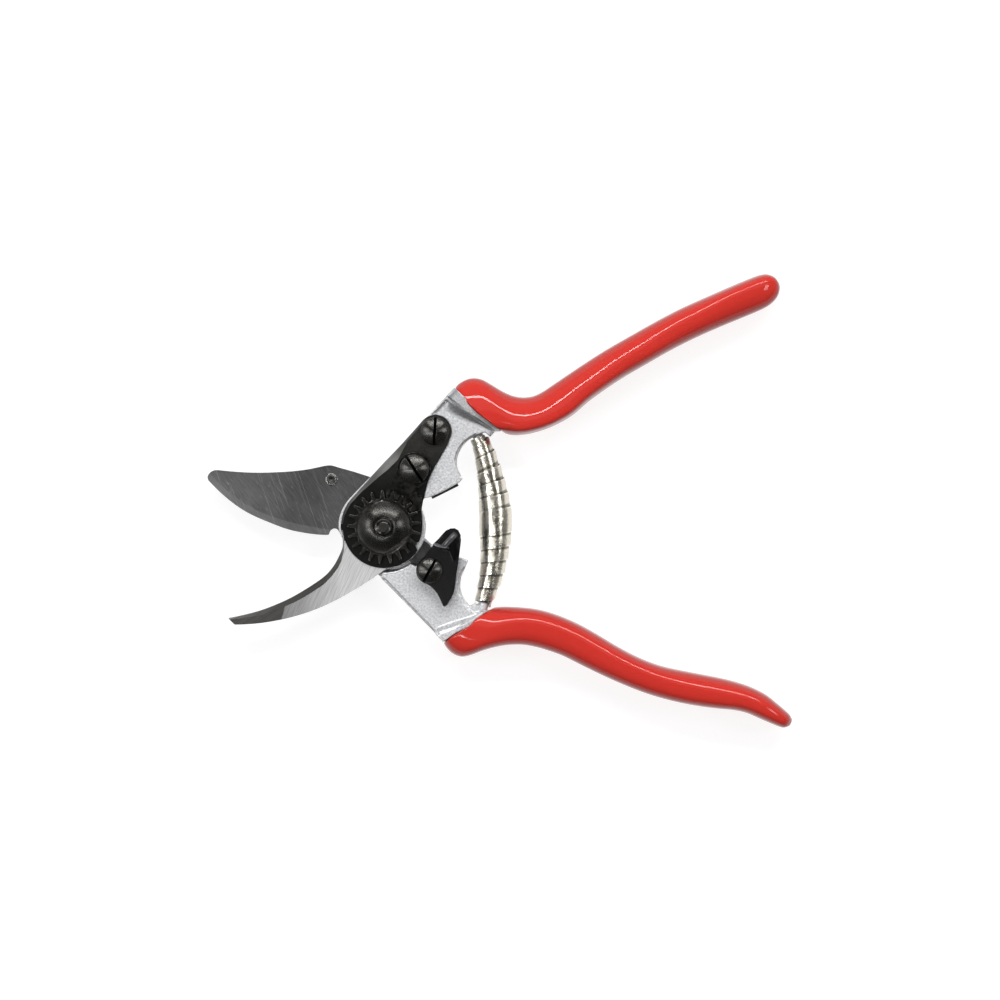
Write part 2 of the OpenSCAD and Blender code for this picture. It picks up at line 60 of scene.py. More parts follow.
# ------------------------------------------------------------------ curves
def cr(a, b, c, d, t):
    return 0.5 * ((2 * b) + (c - a) * t + (2 * a - 5 * b + 4 * c - d) * t * t + (3 * b - a - 3 * c + d) * t ** 3)


def crv(p, n=4):
    p = [np.array(q, float) for q in p]
    m = len(p) - 1
    out = []
    for i in range(m):
        a = 2 * p[0] - p[1] if i == 0 else p[i - 1]
        d = 2 * p[m] - p[m - 1] if i == m - 1 else p[i + 2]
        for k in range(n):
            out.append(cr(a, p[i], p[i + 1], d, k / n))
    out.append(p[m])
    return out


def at(p, f):
    """point at station f of a smooth curve through p, f may run a little outside"""
    p = [np.array(q, float) for q in p]
    m = len(p) - 1
    i = min(m - 1, max(0, int(math.floor(f))))
    a = 2 * p[0] - p[1] if i == 0 else p[i - 1]
    d = 2 * p[m] - p[m - 1] if i == m - 1 else p[i + 2]
    return cr(a, p[i], p[i + 1], d, f - i)


# ------------------------------------------------------------------ mesh help
def obj(name, verts, faces, scale=MM):
    me = bpy.data.meshes.new(name)
    me.from_pydata([tuple(float(c) * scale for c in v) for v in verts], [], faces)
    me.update()
    o = bpy.data.objects.new(name, me)
    bpy.context.scene.collection.objects.link(o)
    return o


def bake(o):
    dg = bpy.context.evaluated_depsgraph_get()
    me = bpy.data.meshes.new_from_object(o.evaluated_get(dg))
    o.modifiers.clear()
    o.data = me
    return o


def clean(o, dist=2e-6, dissolve=None):
    bm = bmesh.new()
    bm.from_mesh(o.data)
    bmesh.ops.remove_doubles(bm, verts=bm.verts, dist=dist)
    if dissolve:
        bmesh.ops.dissolve_limit(bm, angle_limit=math.radians(dissolve), verts=bm.verts, edges=bm.edges, use_dissolve_boundaries=False)
    bmesh.ops.recalc_face_normals(bm, faces=bm.faces)
    bm.to_mesh(o.data)
    bm.free()
    return o


def shade(o, sharp=35):
    """smooth shading, with edges sharper than that angle kept crisp"""
    bm = bmesh.new()
    bm.from_mesh(o.data)
    lim = math.radians(sharp)
    for f in bm.faces:
        f.smooth = True
    for e in bm.edges:
        e.smooth = not (len(e.link_faces) == 2 and e.calc_face_angle(0) > lim)
    bm.to_mesh(o.data)
    bm.free()
    w = o.modifiers.new("w", "WEIGHTED_NORMAL")
    w.mode, w.weight, w.keep_sharp = "FACE_AREA_WITH_ANGLE", 100, True
    return bake(o)


def from_cad(name, *nodes, dissolve=0.6):
    """a fresh mesh with the shape of CAD nodes, cleaned for modifiers"""
    verts, faces = [], []
    for n in nodes:
        me = NODES[n].data
        base = len(verts)
        verts += [tuple(v.co) for v in me.vertices]
        faces += [tuple(base + i for i in p.vertices) for p in me.polygons]
    o = obj(name, verts, faces, 1.0)
    return clean(o, 3e-6, dissolve)


def bevel(o, width, segs=2, angle=28):
    m = o.modifiers.new("b", "BEVEL")
    m.width, m.segments, m.limit_method, m.angle_limit = width * MM, segs, "ANGLE", math.radians(angle)
    m.use_clamp_overlap = True
    m.harden_normals = False
    return bake(o)


def cast(o, voxel, smooth=4, keep=None):
    """softens a solid the way a casting or moulding is soft: remesh, relax, thin out"""
    r = o.modifiers.new("r", "REMESH")
    r.mode, r.voxel_size, r.adaptivity = "VOXEL", voxel * MM, 0
    s = o.modifiers.new("s", "SMOOTH")
    s.factor, s.iterations = 0.5, smooth
    if keep:
        d = o.modifiers.new("d", "DECIMATE")
        d.ratio = keep
    bake(o)
    for p in o.data.polygons:
        p.use_smooth = True
    return o


def cut(o, tool, op="DIFFERENCE"):
    m = o.modifiers.new("c", "BOOLEAN")
    m.operation, m.solver, m.object = op, "EXACT", tool
    bake(o)
    bpy.data.objects.remove(tool)
    return o


def join(a, *others):
    verts = [tuple(v.co) for v in a.data.vertices]
    faces = [tuple(p.vertices) for p in a.data.polygons]
    for b in others:
        base = len(verts)
        verts += [tuple(v.co) for v in b.data.vertices]
        faces += [tuple(base + i for i in p.vertices) for p in b.data.polygons]
        bpy.data.objects.remove(b)
    me = bpy.data.meshes.new(a.name)
    me.from_pydata(verts, [], faces)
    me.update()
    a.data = me
    return a


def block(name, loop, z0, z1):
    """prism over a loop; z0 and z1 may be lists, one height for each corner"""
    n = len(loop)
    z0 = z0 if isinstance(z0, (list, tuple)) else [z0] * n
    z1 = z1 if isinstance(z1, (list, tuple)) else [z1] * n
    v = [(p[0], p[1], z0[i]) for i, p in enumerate(loop)] + [(p[0], p[1], z1[i]) for i, p in enumerate(loop)]
    f = [tuple(range(n - 1, -1, -1)), tuple(range(n, 2 * n))]
    f += [(i, (i + 1) % n, n + (i + 1) % n, n + i) for i in range(n)]
    return clean(obj(name, v, f))


def sweep(name, stations):
    """solid through cross sections that all have the same number of corners"""
    n = len(stations[0])
    v = [q for st in stations for q in st]
    f = [tuple(range(n)), tuple((len(stations) - 1) * n + k for k in reversed(range(n)))]
    for i in range(len(stations) - 1):
        for k in range(n):
            j = (k + 1) % n
            f.append((i * n + k, (i + 1) * n + k, (i + 1) * n + j, i * n + j))
    return clean(obj(name, v, f))


def bar(name, points, r, sides=10):
    """round bar through points, closed at both ends; r may be a list"""
    pts = [Vector(p) for p in points]
    rs = r if isinstance(r, (list, tuple)) else [r] * len(pts)
    st = []
    for i, p in enumerate(pts):
        d = (pts[min(i + 1, len(pts) - 1)] - pts[max(i - 1, 0)]).normalized()
        a = d.cross(Vector((0, 0, 1))).normalized()
        b = a.cross(d).normalized()
        st.append([tuple(p + a * rs[i] * math.cos(2 * math.pi * k / sides) + b * rs[i] * math.sin(2 * math.pi * k / sides)) for k in range(sides)])
    return sweep(name, st)


def lathe(name, profile, centre=(0, 0), z=0, seg=96):
    """closed turned solid: profile of (radius, height) from axis to axis"""
    v, f = [], []
    rows = []
    for r, h in profile:
        if r < 1e-6:
            rows.append([len(v)])
            v.append((centre[0], centre[1], z + h))
        else:
            rows.append(list(range(len(v), len(v) + seg)))
            v += [(centre[0] + r * math.cos(2 * math.pi * k / seg), centre[1] + r * math.sin(2 * math.pi * k / seg), z + h) for k in range(seg)]
    for a, b in zip(rows, rows[1:]):
        for k in range(seg):
            j = (k + 1) % seg
            if len(a) == 1 and len(b) == 1:
                continue
            if len(a) == 1:
                f.append((a[0], b[j], b[k]))
            elif len(b) == 1:
                f.append((a[k], a[j], b[0]))
            else:
                f.append((a[k], a[j], b[j], b[k]))
    if len(rows[0]) > 1:          # a ring: join last row to first
        a, b = rows[-1], rows[0]
        for k in range(seg):
            f.append((a[k], a[(k + 1) % seg], b[(k + 1) % seg], b[k]))
    return clean(obj(name, v, f), 1e-7)


def box(name, lo, hi, turn=0, centre=(0, 0)):
    c, s = math.cos(math.radians(turn)), math.sin(math.radians(turn))
    loop = [(lo[0], lo[1]), (hi[0], lo[1]), (hi[0], hi[1]), (lo[0], hi[1])]
    loop = [(centre[0] + x * c - y * s, centre[1] + x * s + y * c) for x, y in loop]
    return block(name, loop, lo[2], hi[2])


def dress(o, body, mat, slot, *reps):
    o.data.materials.clear()
    for m in (mat if isinstance(mat, (list, tuple)) else [mat]):
        o.data.materials.append(m)
    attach(o, body)
    if reps:
        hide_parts(*reps)
    return o


# ------------------------------------------------------------------ materials
class Mat:
    def __init__(self, name):
        self.m = bpy.data.materials.new(name)
        self.m.use_nodes = True
        self.t = self.m.node_tree
        self.t.nodes.clear()
        self.out = self.t.nodes.new("ShaderNodeOutputMaterial")
        self.b = self.t.nodes.new("ShaderNodeBsdfPrincipled")
        self.link(self.b.outputs[0], self.out.inputs[0])
        self.co = self.t.nodes.new("ShaderNodeTexCoord").outputs["Object"]

    def link(self, a, b):
        self.t.links.new(a, b)

    def set(self, **k):
        for n, v in k.items():
            self.b.inputs[n.replace("_", " ")].default_value = v

    def mapping(self, scale=(1, 1, 1), rot=(0, 0, 0), loc=(0, 0, 0), co=None):
        n = self.t.nodes.new("ShaderNodeMapping")
        self.link(co or self.co, n.inputs["Vector"])
        n.inputs["Location"].default_value = loc
        n.inputs["Rotation"].default_value = tuple(math.radians(a) for a in rot)
        n.inputs["Scale"].default_value = scale
        return n.outputs[0]

    def turned(self, deg, scale, loc=(0, 0, 0)):
        """coordinates turned about Z by -deg first, then scaled: x runs along direction deg"""
        a = self.mapping(rot=(0, 0, -deg), loc=loc)
        return self.mapping(scale=scale, co=a)

    def noise(self, scale, detail=3, rough=0.5, dist=0, co=None):
        n = self.t.nodes.new("ShaderNodeTexNoise")
        self.link(co or self.co, n.inputs["Vector"])
        n.inputs["Scale"].default_value = scale
        n.inputs["Detail"].default_value = detail
        n.inputs["Roughness"].default_value = rough
        n.inputs["Distortion"].default_value = dist
        return n.outputs["Fac"]

    def voronoi(self, scale, co=None, feature="F1"):
        n = self.t.nodes.new("ShaderNodeTexVoronoi")
        self.link(co or self.co, n.inputs["Vector"])
        n.feature = feature
        n.inputs["Scale"].default_value = scale
        return n.outputs["Distance"]

    def ramp(self, fac, stops):
        n = self.t.nodes.new("ShaderNodeValToRGB")
        self.link(fac, n.inputs[0])
        e = n.color_ramp.elements
        while len(e) > len(stops):
            e.remove(e[-1])
        while len(e) < len(stops):
            e.new(0.5)
        for el, (p, c) in zip(e, stops):
            el.position = p
            el.color = (c, c, c, 1) if not isinstance(c, (tuple, list)) else tuple(c) + (1,)
        return n.outputs[0]

    def mix(self, fac, a, b, kind="MIX"):
        n = self.t.nodes.new("ShaderNodeMix")
        n.data_type, n.blend_type = "RGBA", kind
        for val, k in ((fac, 0), (a, 6), (b, 7)):
            sock = n.inputs[k]
            if isinstance(val, (int, float)):
                sock.default_value = val if k == 0 else (val, val, val, 1)
            elif isinstance(val, (tuple, list)):
                sock.default_value = tuple(val) + (1,)
            else:
                self.link(val, sock)
        return n.outputs[2]

    def math(self, op, a, b=0.0, c=0.0):
        n = self.t.nodes.new("ShaderNodeMath")
        n.operation = op
        for val, sock in ((a, n.inputs[0]), (b, n.inputs[1]), (c, n.inputs[2])):
            if isinstance(val, (int, float)):
                sock.default_value = val
            else:
                self.link(val, sock)
        return n.outputs[0]

    def bump(self, height, strength, dist, normal=None):
        n = self.t.nodes.new("ShaderNodeBump")
        self.link(height, n.inputs["Height"])
        n.inputs["Strength"].default_value = strength
        n.inputs["Distance"].default_value = dist * MM
        if normal is not None:
            self.link(normal, n.inputs["Normal"])
        return n.outputs[0]

    def radius(self, centre):
        """distance from a vertical axis, in metres"""
        v = self.t.nodes.new("ShaderNodeVectorMath")
        v.operation = "SUBTRACT"
        self.link(self.co, v.inputs[0])
        v.inputs[1].default_value = (centre[0] * MM, centre[1] * MM, 0)
        w = self.t.nodes.new("ShaderNodeVectorMath")
        w.operation = "MULTIPLY"
        self.link(v.outputs[0], w.inputs[0])
        w.inputs[1].default_value = (1, 1, 0)
        n = self.t.nodes.new("ShaderNodeVectorMath")
        n.operation = "LENGTH"
        self.link(w.outputs[0], n.inputs[0])
        return n.outputs["Value"]

    def normal_z(self):
        g = self.t.nodes.new("ShaderNodeNewGeometry")
        s = self.t.nodes.new("ShaderNodeSeparateXYZ")
        self.link(g.outputs["True Normal"], s.inputs[0])
        return s.outputs[2]

    def xyz(self):
        s = self.t.nodes.new("ShaderNodeSeparateXYZ")
        self.link(self.co, s.inputs[0])
        return s.outputs


def mat_cast():
    m = Mat("cast_alloy")
    grain = m.noise(1500, 4, 0.65)
    fine = m.noise(4200, 3, 0.6)
    mid = m.noise(420, 4, 0.6)
    pits = m.voronoi(1700)
    c = m.ramp(grain, [(0.34, (0.50, 0.505, 0.52)), (0.5, (0.74, 0.745, 0.76)), (0.66, (0.93, 0.935, 0.95))])
    c = m.mix(m.math("MULTIPLY", m.ramp(mid, [(0.42, 0.0), (0.62, 1.0)]), 0.30), c, (0.66, 0.665, 0.68))
    c = m.mix(m.math("MULTIPLY", m.ramp(pits, [(0.0, 1.0), (0.20, 0.0)]), 0.55), c, (0.34, 0.34, 0.35))
    # painted shade: the base colour is darkened in the hollow beside the upper grip and, less, along its raised rim
    x, y, z = m.xyz()
    line = m.math("MULTIPLY_ADD", m.math("MULTIPLY_ADD", x, COVE[2], COVE[1]), x, COVE[0])
    up = m.math("MULTIPLY", m.math("SUBTRACT", y, line), 92.0)
    cove_painted_shade = m.ramp(m.math("ADD", up, 0.10), [(0.05, 1.0), (0.11, 0.66), (0.16, 0.46), (0.27, 0.48), (0.36, 0.66), (0.5, 0.74), (0.85, 0.76)])
    inside = m.math("MULTIPLY", m.ramp(m.math("MULTIPLY", x, 20.0), [(0.385, 0.0), (0.43, 1.0), (0.76, 1.0), (0.80, 0.0)]), m.ramp(m.math("MULTIPLY", z, 40.0), [(0.50, 0.0), (0.52, 1.0)]))
    inside = m.math("MULTIPLY", inside, m.ramp(m.math("MULTIPLY", y, 20.0), [(0.58, 0.0), (0.60, 1.0)]))
    c = m.mix(1.0, c, m.mix(inside, (1.0, 1.0, 1.0), cove_painted_shade), "MULTIPLY")
    # painted shade: a dark line along the crease on the inner side of the raised rim
    side = m.math("MULTIPLY", m.math("ADD", m.math("MULTIPLY", x, -0.726), m.math("MULTIPLY", y, 0.688)), 40.0)
    rim_crease_shade = m.ramp(side, [(0.505, 0.0), (0.525, 1.0), (0.542, 1.0), (0.556, 0.0)])
    rim_crease_shade = m.math("MULTIPLY", rim_crease_shade, m.math("MULTIPLY", m.ramp(m.math("MULTIPLY", y, 20.0), [(0.73, 0.0), (0.75, 1.0)]), m.ramp(m.math("MULTIPLY", z, 40.0), [(0.50, 0.0), (0.52, 1.0)])))
    c = m.mix(m.math("MULTIPLY", rim_crease_shade, 0.6), c, (0.22, 0.22, 0.225))
    m.link(c, m.b.inputs["Base Color"])
    m.set(Metallic=0.6, IOR=1.5)
    m.link(m.ramp(grain, [(0.3, 0.36), (0.7, 0.52)]), m.b.inputs["Roughness"])
    n = m.bump(grain, 0.35, 0.10)
    n = m.bump(pits, 0.25, 0.06, n)
    n = m.bump(fine, 0.2, 0.03, n)
    m.link(n, m.b.inputs["Normal"])
    return m.m


def mat_grip():
    m = Mat("red_dip_coating")
    big = m.noise(38, 3, 0.5)
    fine = m.noise(700, 2, 0.5)
    c = m.mix(m.math("MULTIPLY", big, 0.5), (0.67, 0.039, 0.028), (0.71, 0.045, 0.033))
    dust = m.ramp(m.noise(2600, 2, 0.7), [(0.74, 0.0), (0.80, 1.0)])
    c = m.mix(m.math("MULTIPLY", dust, 0.12), c, (0.75, 0.35, 0.30))
    # painted shade: deeper red down the steep sides
    side = m.ramp(m.math("ABSOLUTE", m.normal_z()), [(0.0, 0.50), (0.45, 0.66), (0.72, 0.90), (0.85, 1.0)])
    c = m.mix(1.0, c, side, "MULTIPLY")
    m.link(c, m.b.inputs["Base Color"])
    m.set(Metallic=0.0, IOR=1.32, Coat_Weight=0.10, Coat_Roughness=0.03, Subsurface_Weight=0.06, Subsurface_Scale=0.001)
    m.b.inputs["Subsurface Radius"].default_value = (1.0, 0.25, 0.15)
    m.link(m.ramp(fine, [(0.3, 0.05), (0.7, 0.11)]), m.b.inputs["Roughness"])
    n = m.bump(big, 0.05, 0.3)
    n = m.bump(fine, 0.03, 0.05, n)
    m.link(n, m.b.inputs["Normal"])
    return m.m


def mat_black(name, base=0.010, metal=0.6, rough=(0.24, 0.38), turned=False, tint=(1.0, 0.98, 0.92), edge_wear_and_highlight=0.25, spots=0.25, uneven=1.0):
    """black-oxidised steel: nearly black and oily, a little rubbed; sharp edges are lightened, partly as wear and
    partly as painted highlight; turned parts carry fine rings
    """
    m = Mat(name)
    fine = m.noise(5200, 4, 0.6)
    big = m.noise(420, 4, 0.6)
    c = m.mix(big, tuple(base * 0.6 * k for k in tint), tuple(base * 1.5 * k for k in tint))
    sp = m.ramp(m.noise(1900, 5, 0.7), [(0.60, 0.0), (0.72, 1.0)])
    c = m.mix(m.math("MULTIPLY", sp, spots), c, tuple((base * 4 + 0.03) * k for k in tint))
    geo = m.t.nodes.new("ShaderNodeNewGeometry")
    # sharp edges lightened: partly rubbed wear, partly painted highlight
    edge = m.ramp(geo.outputs["Pointiness"], [(0.52, 0.0), (0.60, 1.0)])
    edge = m.math("MULTIPLY", edge, m.ramp(m.noise(900, 3, 0.6), [(0.40, 0.1), (0.60, 1.0)]))
    c = m.mix(m.math("MULTIPLY", edge, edge_wear_and_highlight), c, (0.16, 0.155, 0.14))
    m.link(c, m.b.inputs["Base Color"])
    m.set(Metallic=metal, IOR=1.5)
    m.link(m.ramp(fine, [(0.3, rough[0]), (0.7, rough[1])]), m.b.inputs["Roughness"])
    n = m.bump(fine, (0.05 if turned else 0.10) * uneven, 0.008 if turned else 0.012)
    n = m.bump(big, 0.06 * uneven, 0.05, n)
    if turned:
        co = m.t.nodes.new("ShaderNodeTexCoord").outputs["Generated"]
        v = m.t.nodes.new("ShaderNodeVectorMath")
        v.operation = "MULTIPLY_ADD"
        m.link(co, v.inputs[0])
        v.inputs[1].default_value = (1, 1, 0)
        v.inputs[2].default_value = (-0.5, -0.5, 0)
        ln = m.t.nodes.new("ShaderNodeVectorMath")
        ln.operation = "LENGTH"
        m.link(v.outputs[0], ln.inputs[0])
        cx = m.t.nodes.new("ShaderNodeCombineXYZ")
        m.link(m.math("MULTIPLY", ln.outputs["Value"], 60.0), cx.inputs[0])
        n = m.bump(m.noise(1.0, 3, 0.6, co=cx.outputs[0]), 0.05, 0.01, n)
        tg = m.t.nodes.new("ShaderNodeTangent")
        tg.direction_type, tg.axis = "RADIAL", "Z"
        m.link(tg.outputs[0], m.b.inputs["Tangent"])
        m.set(Anisotropic=0.8)
        m.b.inputs["Anisotropic Rotation"].default_value = 0.25
    m.link(n, m.b.inputs["Normal"])
    return m.m


def mat_blade(name="blade_steel", deg=-57.0, dark=0.16, light=0.30, metal=0.9):
    m = Mat(name)
    s1 = m.noise(1.0, 4, 0.6, co=m.turned(deg, (55, 3600, 200)))
    s2 = m.noise(1.0, 3, 0.6, co=m.turned(deg + 9, (90, 6200, 200), (0.013, 0.02, 0)))
    s3 = m.noise(1.0, 2, 0.5, co=m.turned(deg - 14, (25, 2600, 200), (0.2, 0.4, 0)))
    big = m.noise(60, 4, 0.6)
    base = m.ramp(s1, [(0.30, dark), (0.70, light)])
    base = m.mix(0.45, base, m.ramp(s2, [(0.35, dark * 0.8), (0.65, light * 1.15)]))
    base = m.mix(m.math("MULTIPLY", m.ramp(s3, [(0.64, 0.0), (0.72, 1.0)]), 0.75), base, (light * 2.3,) * 3)
    base = m.mix(m.math("MULTIPLY", m.ramp(big, [(0.40, 0.0), (0.65, 1.0)]), 0.50), base, (dark * 0.75, dark * 0.75, dark * 0.78))
    spots = m.ramp(m.noise(1.0, 4, 0.6, co=m.turned(deg, (420, 1300, 200))), [(0.60, 0.0), (0.72, 1.0)])
    base = m.mix(m.math("MULTIPLY", spots, 0.40), base, (light * 1.9,) * 3)
    dark_spots = m.ramp(m.noise(1.0, 4, 0.6, co=m.turned(deg, (500, 1500, 200), (0.3, 0.1, 0))), [(0.60, 0.0), (0.72, 1.0)])
    base = m.mix(m.math("MULTIPLY", dark_spots, 0.30), base, (dark * 0.45,) * 3)
    x, y, z = m.xyz()
    # painted light and shade: tone graded along the blade, lighter towards the tip and darkest near the pivot, where
    # the lobe lies in shade
    along = m.ramp(m.math("MULTIPLY_ADD", x, 14.0, 0.85), [(0.0, 0.34), (0.22, 0.32), (0.33, 0.30), (0.43, 0.225), (0.55, 0.20), (0.62, 0.24), (0.93, 0.26), (0.99, 0.13)])
    base = m.mix(1.0, base, along, "MULTIPLY")
    # painted highlight: a narrow lighter band along the cutting edge
    lo_y = m.math("MULTIPLY_ADD", m.math("MULTIPLY_ADD", m.math("MULTIPLY_ADD", x, EDGE[3], EDGE[2]), x, EDGE[1]), x, EDGE[0])
    up = m.math("SUBTRACT", y, lo_y)
    wav = m.math("MULTIPLY", m.math("SUBTRACT", m.noise(260, 2), 0.5), 0.0005)
    edge_highlight = m.ramp(m.math("MULTIPLY", m.math("ADD", up, wav), 400.0), [(0.36, 1.0), (0.46, 0.0)])
    base = m.mix(m.math("MULTIPLY", edge_highlight, 0.07), base, (light * 1.25,) * 3)
    m.link(base, m.b.inputs["Base Color"])
    m.set(Metallic=metal, IOR=1.5)
    m.link(m.ramp(s1, [(0.3, 0.26), (0.7, 0.40)]), m.b.inputs["Roughness"])
    n = m.bump(s1, 0.22, 0.02)
    n = m.bump(s2, 0.16, 0.015, n)
    m.link(n, m.b.inputs["Normal"])
    return m.m


def mat_anvil():
    """black arm, painted lighter towards its far end, with a light grey chamfer; the hook's ground face, its bevel
    painted dark as shade, and a darker tip
    """
    m = Mat("anvil_blade_zones")
    x, y, z = m.xyz()
    rad = m.radius((0, 0))
    nz = m.normal_z()

    def step(v, edge, width, flip=False):
        a = m.t.nodes.new("ShaderNodeMapRange")
        a.interpolation_type = "SMOOTHSTEP"
        m.link(v, a.inputs[0])
        a.inputs[1].default_value, a.inputs[2].default_value = edge - width / 2, edge + width / 2
        a.inputs[3].default_value, a.inputs[4].default_value = (1, 0) if flip else (0, 1)
        return a.outputs[0]

    mul = lambda *q: q[0] if len(q) == 1 else m.math("MULTIPLY", q[0], mul(*q[1:]))
    hook = mul(step(y, -0.0045, 0.0002, True), step(rad, 0.0133, 0.0002), step(x, 0.004, 0.0002, True))
    top = step(nz, 0.975, 0.01)
    slope = m.math("SUBTRACT", step(nz, 0.25, 0.02), top)
    wob = m.math("MULTIPLY", m.math("SUBTRACT", m.noise(700, 3), 0.5), 0.0012)
    along = m.math("ADD", m.math("ADD", m.math("MULTIPLY", x, 0.96), m.math("MULTIPLY", y, -0.27)), wob)
    bright = mul(hook, top, step(along, -0.0238, 0.0004), step(z, 0.0130, 0.0002))
    arm = m.math("SUBTRACT", 1.0, hook)
    # the arm's sloped chamfer and a band along its left edge are painted light grey
    strip = mul(arm, slope, step(z, 0.0118, 0.0002), step(x, 0.010, 0.0005, True), step(y, 0.0270, 0.003, True))
    left = m.math("ADD", m.math("MULTIPLY", x, -0.760), m.math("MULTIPLY", y, 0.650))
    left_edge_grey = mul(arm, step(left, 0.0124, 0.0008), step(y, 0.0235, 0.006), step(y, 0.0350, 0.003, True), step(z, 0.0125, 0.0002))
    strip = m.math("MAXIMUM", strip, left_edge_grey)
    # ground face
    s1 = m.noise(1.0, 4, 0.6, co=m.turned(62, (70, 2600, 200)))
    s2 = m.noise(1.0, 3, 0.6, co=m.turned(70, (120, 5200, 200), (0.013, 0.02, 0)))
    g = m.ramp(s1, [(0.32, 0.50), (0.68, 0.95)])
    g = m.mix(0.45, g, m.ramp(s2, [(0.35, 0.45), (0.65, 0.98)]))
    fade = m.ramp(m.math("MULTIPLY_ADD", x, 25.0, 1.05), [(0.10, 0.22), (0.43, 0.50), (0.72, 0.88)])
    g = m.mix(1.0, g, fade, "MULTIPLY")
    # black parts
    big = m.noise(420, 4, 0.6)
    fine = m.noise(3600, 4, 0.6)
    k = m.mix(big, (0.0035, 0.0034, 0.0031), (0.010, 0.0098, 0.009))
    sp = m.ramp(m.noise(1700, 5, 0.7), [(0.56, 0.0), (0.70, 1.0)])
    # painted light: the black arm is lighter towards its far end and carries more light spots there
    far = m.ramp(m.math("MULTIPLY", y, 25.0), [(0.30, 0.0), (0.72, 1.0)])
    k = m.mix(far, k, m.mix(big, (0.016, 0.0155, 0.014), (0.060, 0.058, 0.052)))
    k = m.mix(m.math("MULTIPLY", sp, m.math("MULTIPLY_ADD", far, 0.45, 0.05)), k, (0.10, 0.098, 0.09))
    # dark grey for the hook outside its ground face; on the tilted bevel this dark tone is painted shade
    hd = m.mix(m.noise(1.0, 4, 0.6, co=m.turned(35, (40, 1500, 200))), (0.040, 0.038, 0.036), (0.095, 0.092, 0.088))
    st = m.mix(m.noise(1.0, 4, 0.6, co=m.turned(48, (60, 1800, 200))), (0.11, 0.11, 0.105), (0.22, 0.22, 0.21))
    c = m.mix(hook, k, hd)
    c = m.mix(strip, c, st)
    c = m.mix(bright, c, g)
    m.link(c, m.b.inputs["Base Color"])
    m.set(Metallic=0.8, IOR=1.5)
    m.link(m.mix(bright, m.ramp(fine, [(0.3, 0.28), (0.7, 0.42)]), m.ramp(s1, [(0.3, 0.30), (0.7, 0.42)])), m.b.inputs["Roughness"])
    lines = m.math("MULTIPLY", m.math("ADD", s1, s2), bright)
    n = m.bump(lines, 0.16, 0.02)
    n = m.bump(fine, 0.10, 0.015, n)
    m.link(n, m.b.inputs["Normal"])
    return m.m


def mat_plain_metal(name, base, rough=(0.25, 0.4), metal=1.0, scale=900):
    m = Mat(name)
    f = m.noise(scale, 4, 0.6)
    c = m.mix(f, tuple(0.85 * k for k in base), tuple(min(1, 1.15 * k) for k in base))
    m.link(c, m.b.inputs["Base Color"])
    m.set(Metallic=metal)
    m.link(m.ramp(f, [(0.3, rough[0]), (0.7, rough[1])]), m.b.inputs["Roughness"])
    m.link(m.bump(f, 0.12, 0.03), m.b.inputs["Normal"])
    return m.m


def mat_spring():
    """nickel-plated strip; the UV map runs along the strip (u) and across it (v)"""
    m = Mat("nickel_strip")
    uv = m.t.nodes.new("ShaderNodeUVMap").outputs[0]
    sep = m.t.nodes.new("ShaderNodeSeparateXYZ")
    m.link(uv, sep.inputs[0])
    across = sep.outputs[1]
    big = m.noise(330, 4, 0.6)
    fine = m.noise(2300, 4, 0.65)
    c = m.mix(big, (0.56, 0.53, 0.44), (0.84, 0.80, 0.71))
    spots = m.ramp(fine, [(0.54, 0.0), (0.70, 1.0)])
    c = m.mix(m.math("MULTIPLY", spots, 0.55), c, (0.24, 0.225, 0.17))
    # painted highlight: light rims along both edges of the strip
    rim = m.ramp(across, [(0.0, 1.0), (0.035, 1.0), (0.06, 0.0), (0.94, 0.0), (0.965, 1.0), (1.0, 1.0)])
    c = m.mix(m.math("MULTIPLY", rim, 0.55), c, (0.93, 0.92, 0.88))
    # painted shadow: a dark band down the middle of each turn, where the next turn's edge covers it; the middle turn is
    # left clear
    under = m.ramp(across, [(0.40, 0.0), (0.46, 1.0), (0.54, 1.0), (0.60, 0.0)])
    away = m.ramp(m.math("ABSOLUTE", m.math("MULTIPLY_ADD", sep.outputs[0], 1 / 6, -1.0)), [(0.10, 0.0), (0.16, 1.0)])
    c = m.mix(m.math("MULTIPLY", m.math("MULTIPLY", under, away), 0.8), c, (0.10, 0.09, 0.06))
    m.link(c, m.b.inputs["Base Color"])
    m.set(Metallic=1.0)
    m.link(m.ramp(big, [(0.35, 0.18), (0.7, 0.34)]), m.b.inputs["Roughness"])
    n = m.bump(big, 0.55, 0.20)
    n = m.bump(fine, 0.22, 0.025, n)
    m.link(n, m.b.inputs["Normal"])
    return m.m


def mat_rubber():
    m = Mat("buffer_rubber")
    f = m.noise(1200, 3, 0.6)
    m.link(m.mix(f, (0.010, 0.010, 0.010), (0.030, 0.029, 0.028)), m.b.inputs["Base Color"])
    m.set(Metallic=0.0, IOR=1.5)
    m.link(m.ramp(f, [(0.3, 0.55), (0.7, 0.75)]), m.b.inputs["Roughness"])
    m.link(m.bump(f, 0.2, 0.04), m.b.inputs["Normal"])
    return m.m


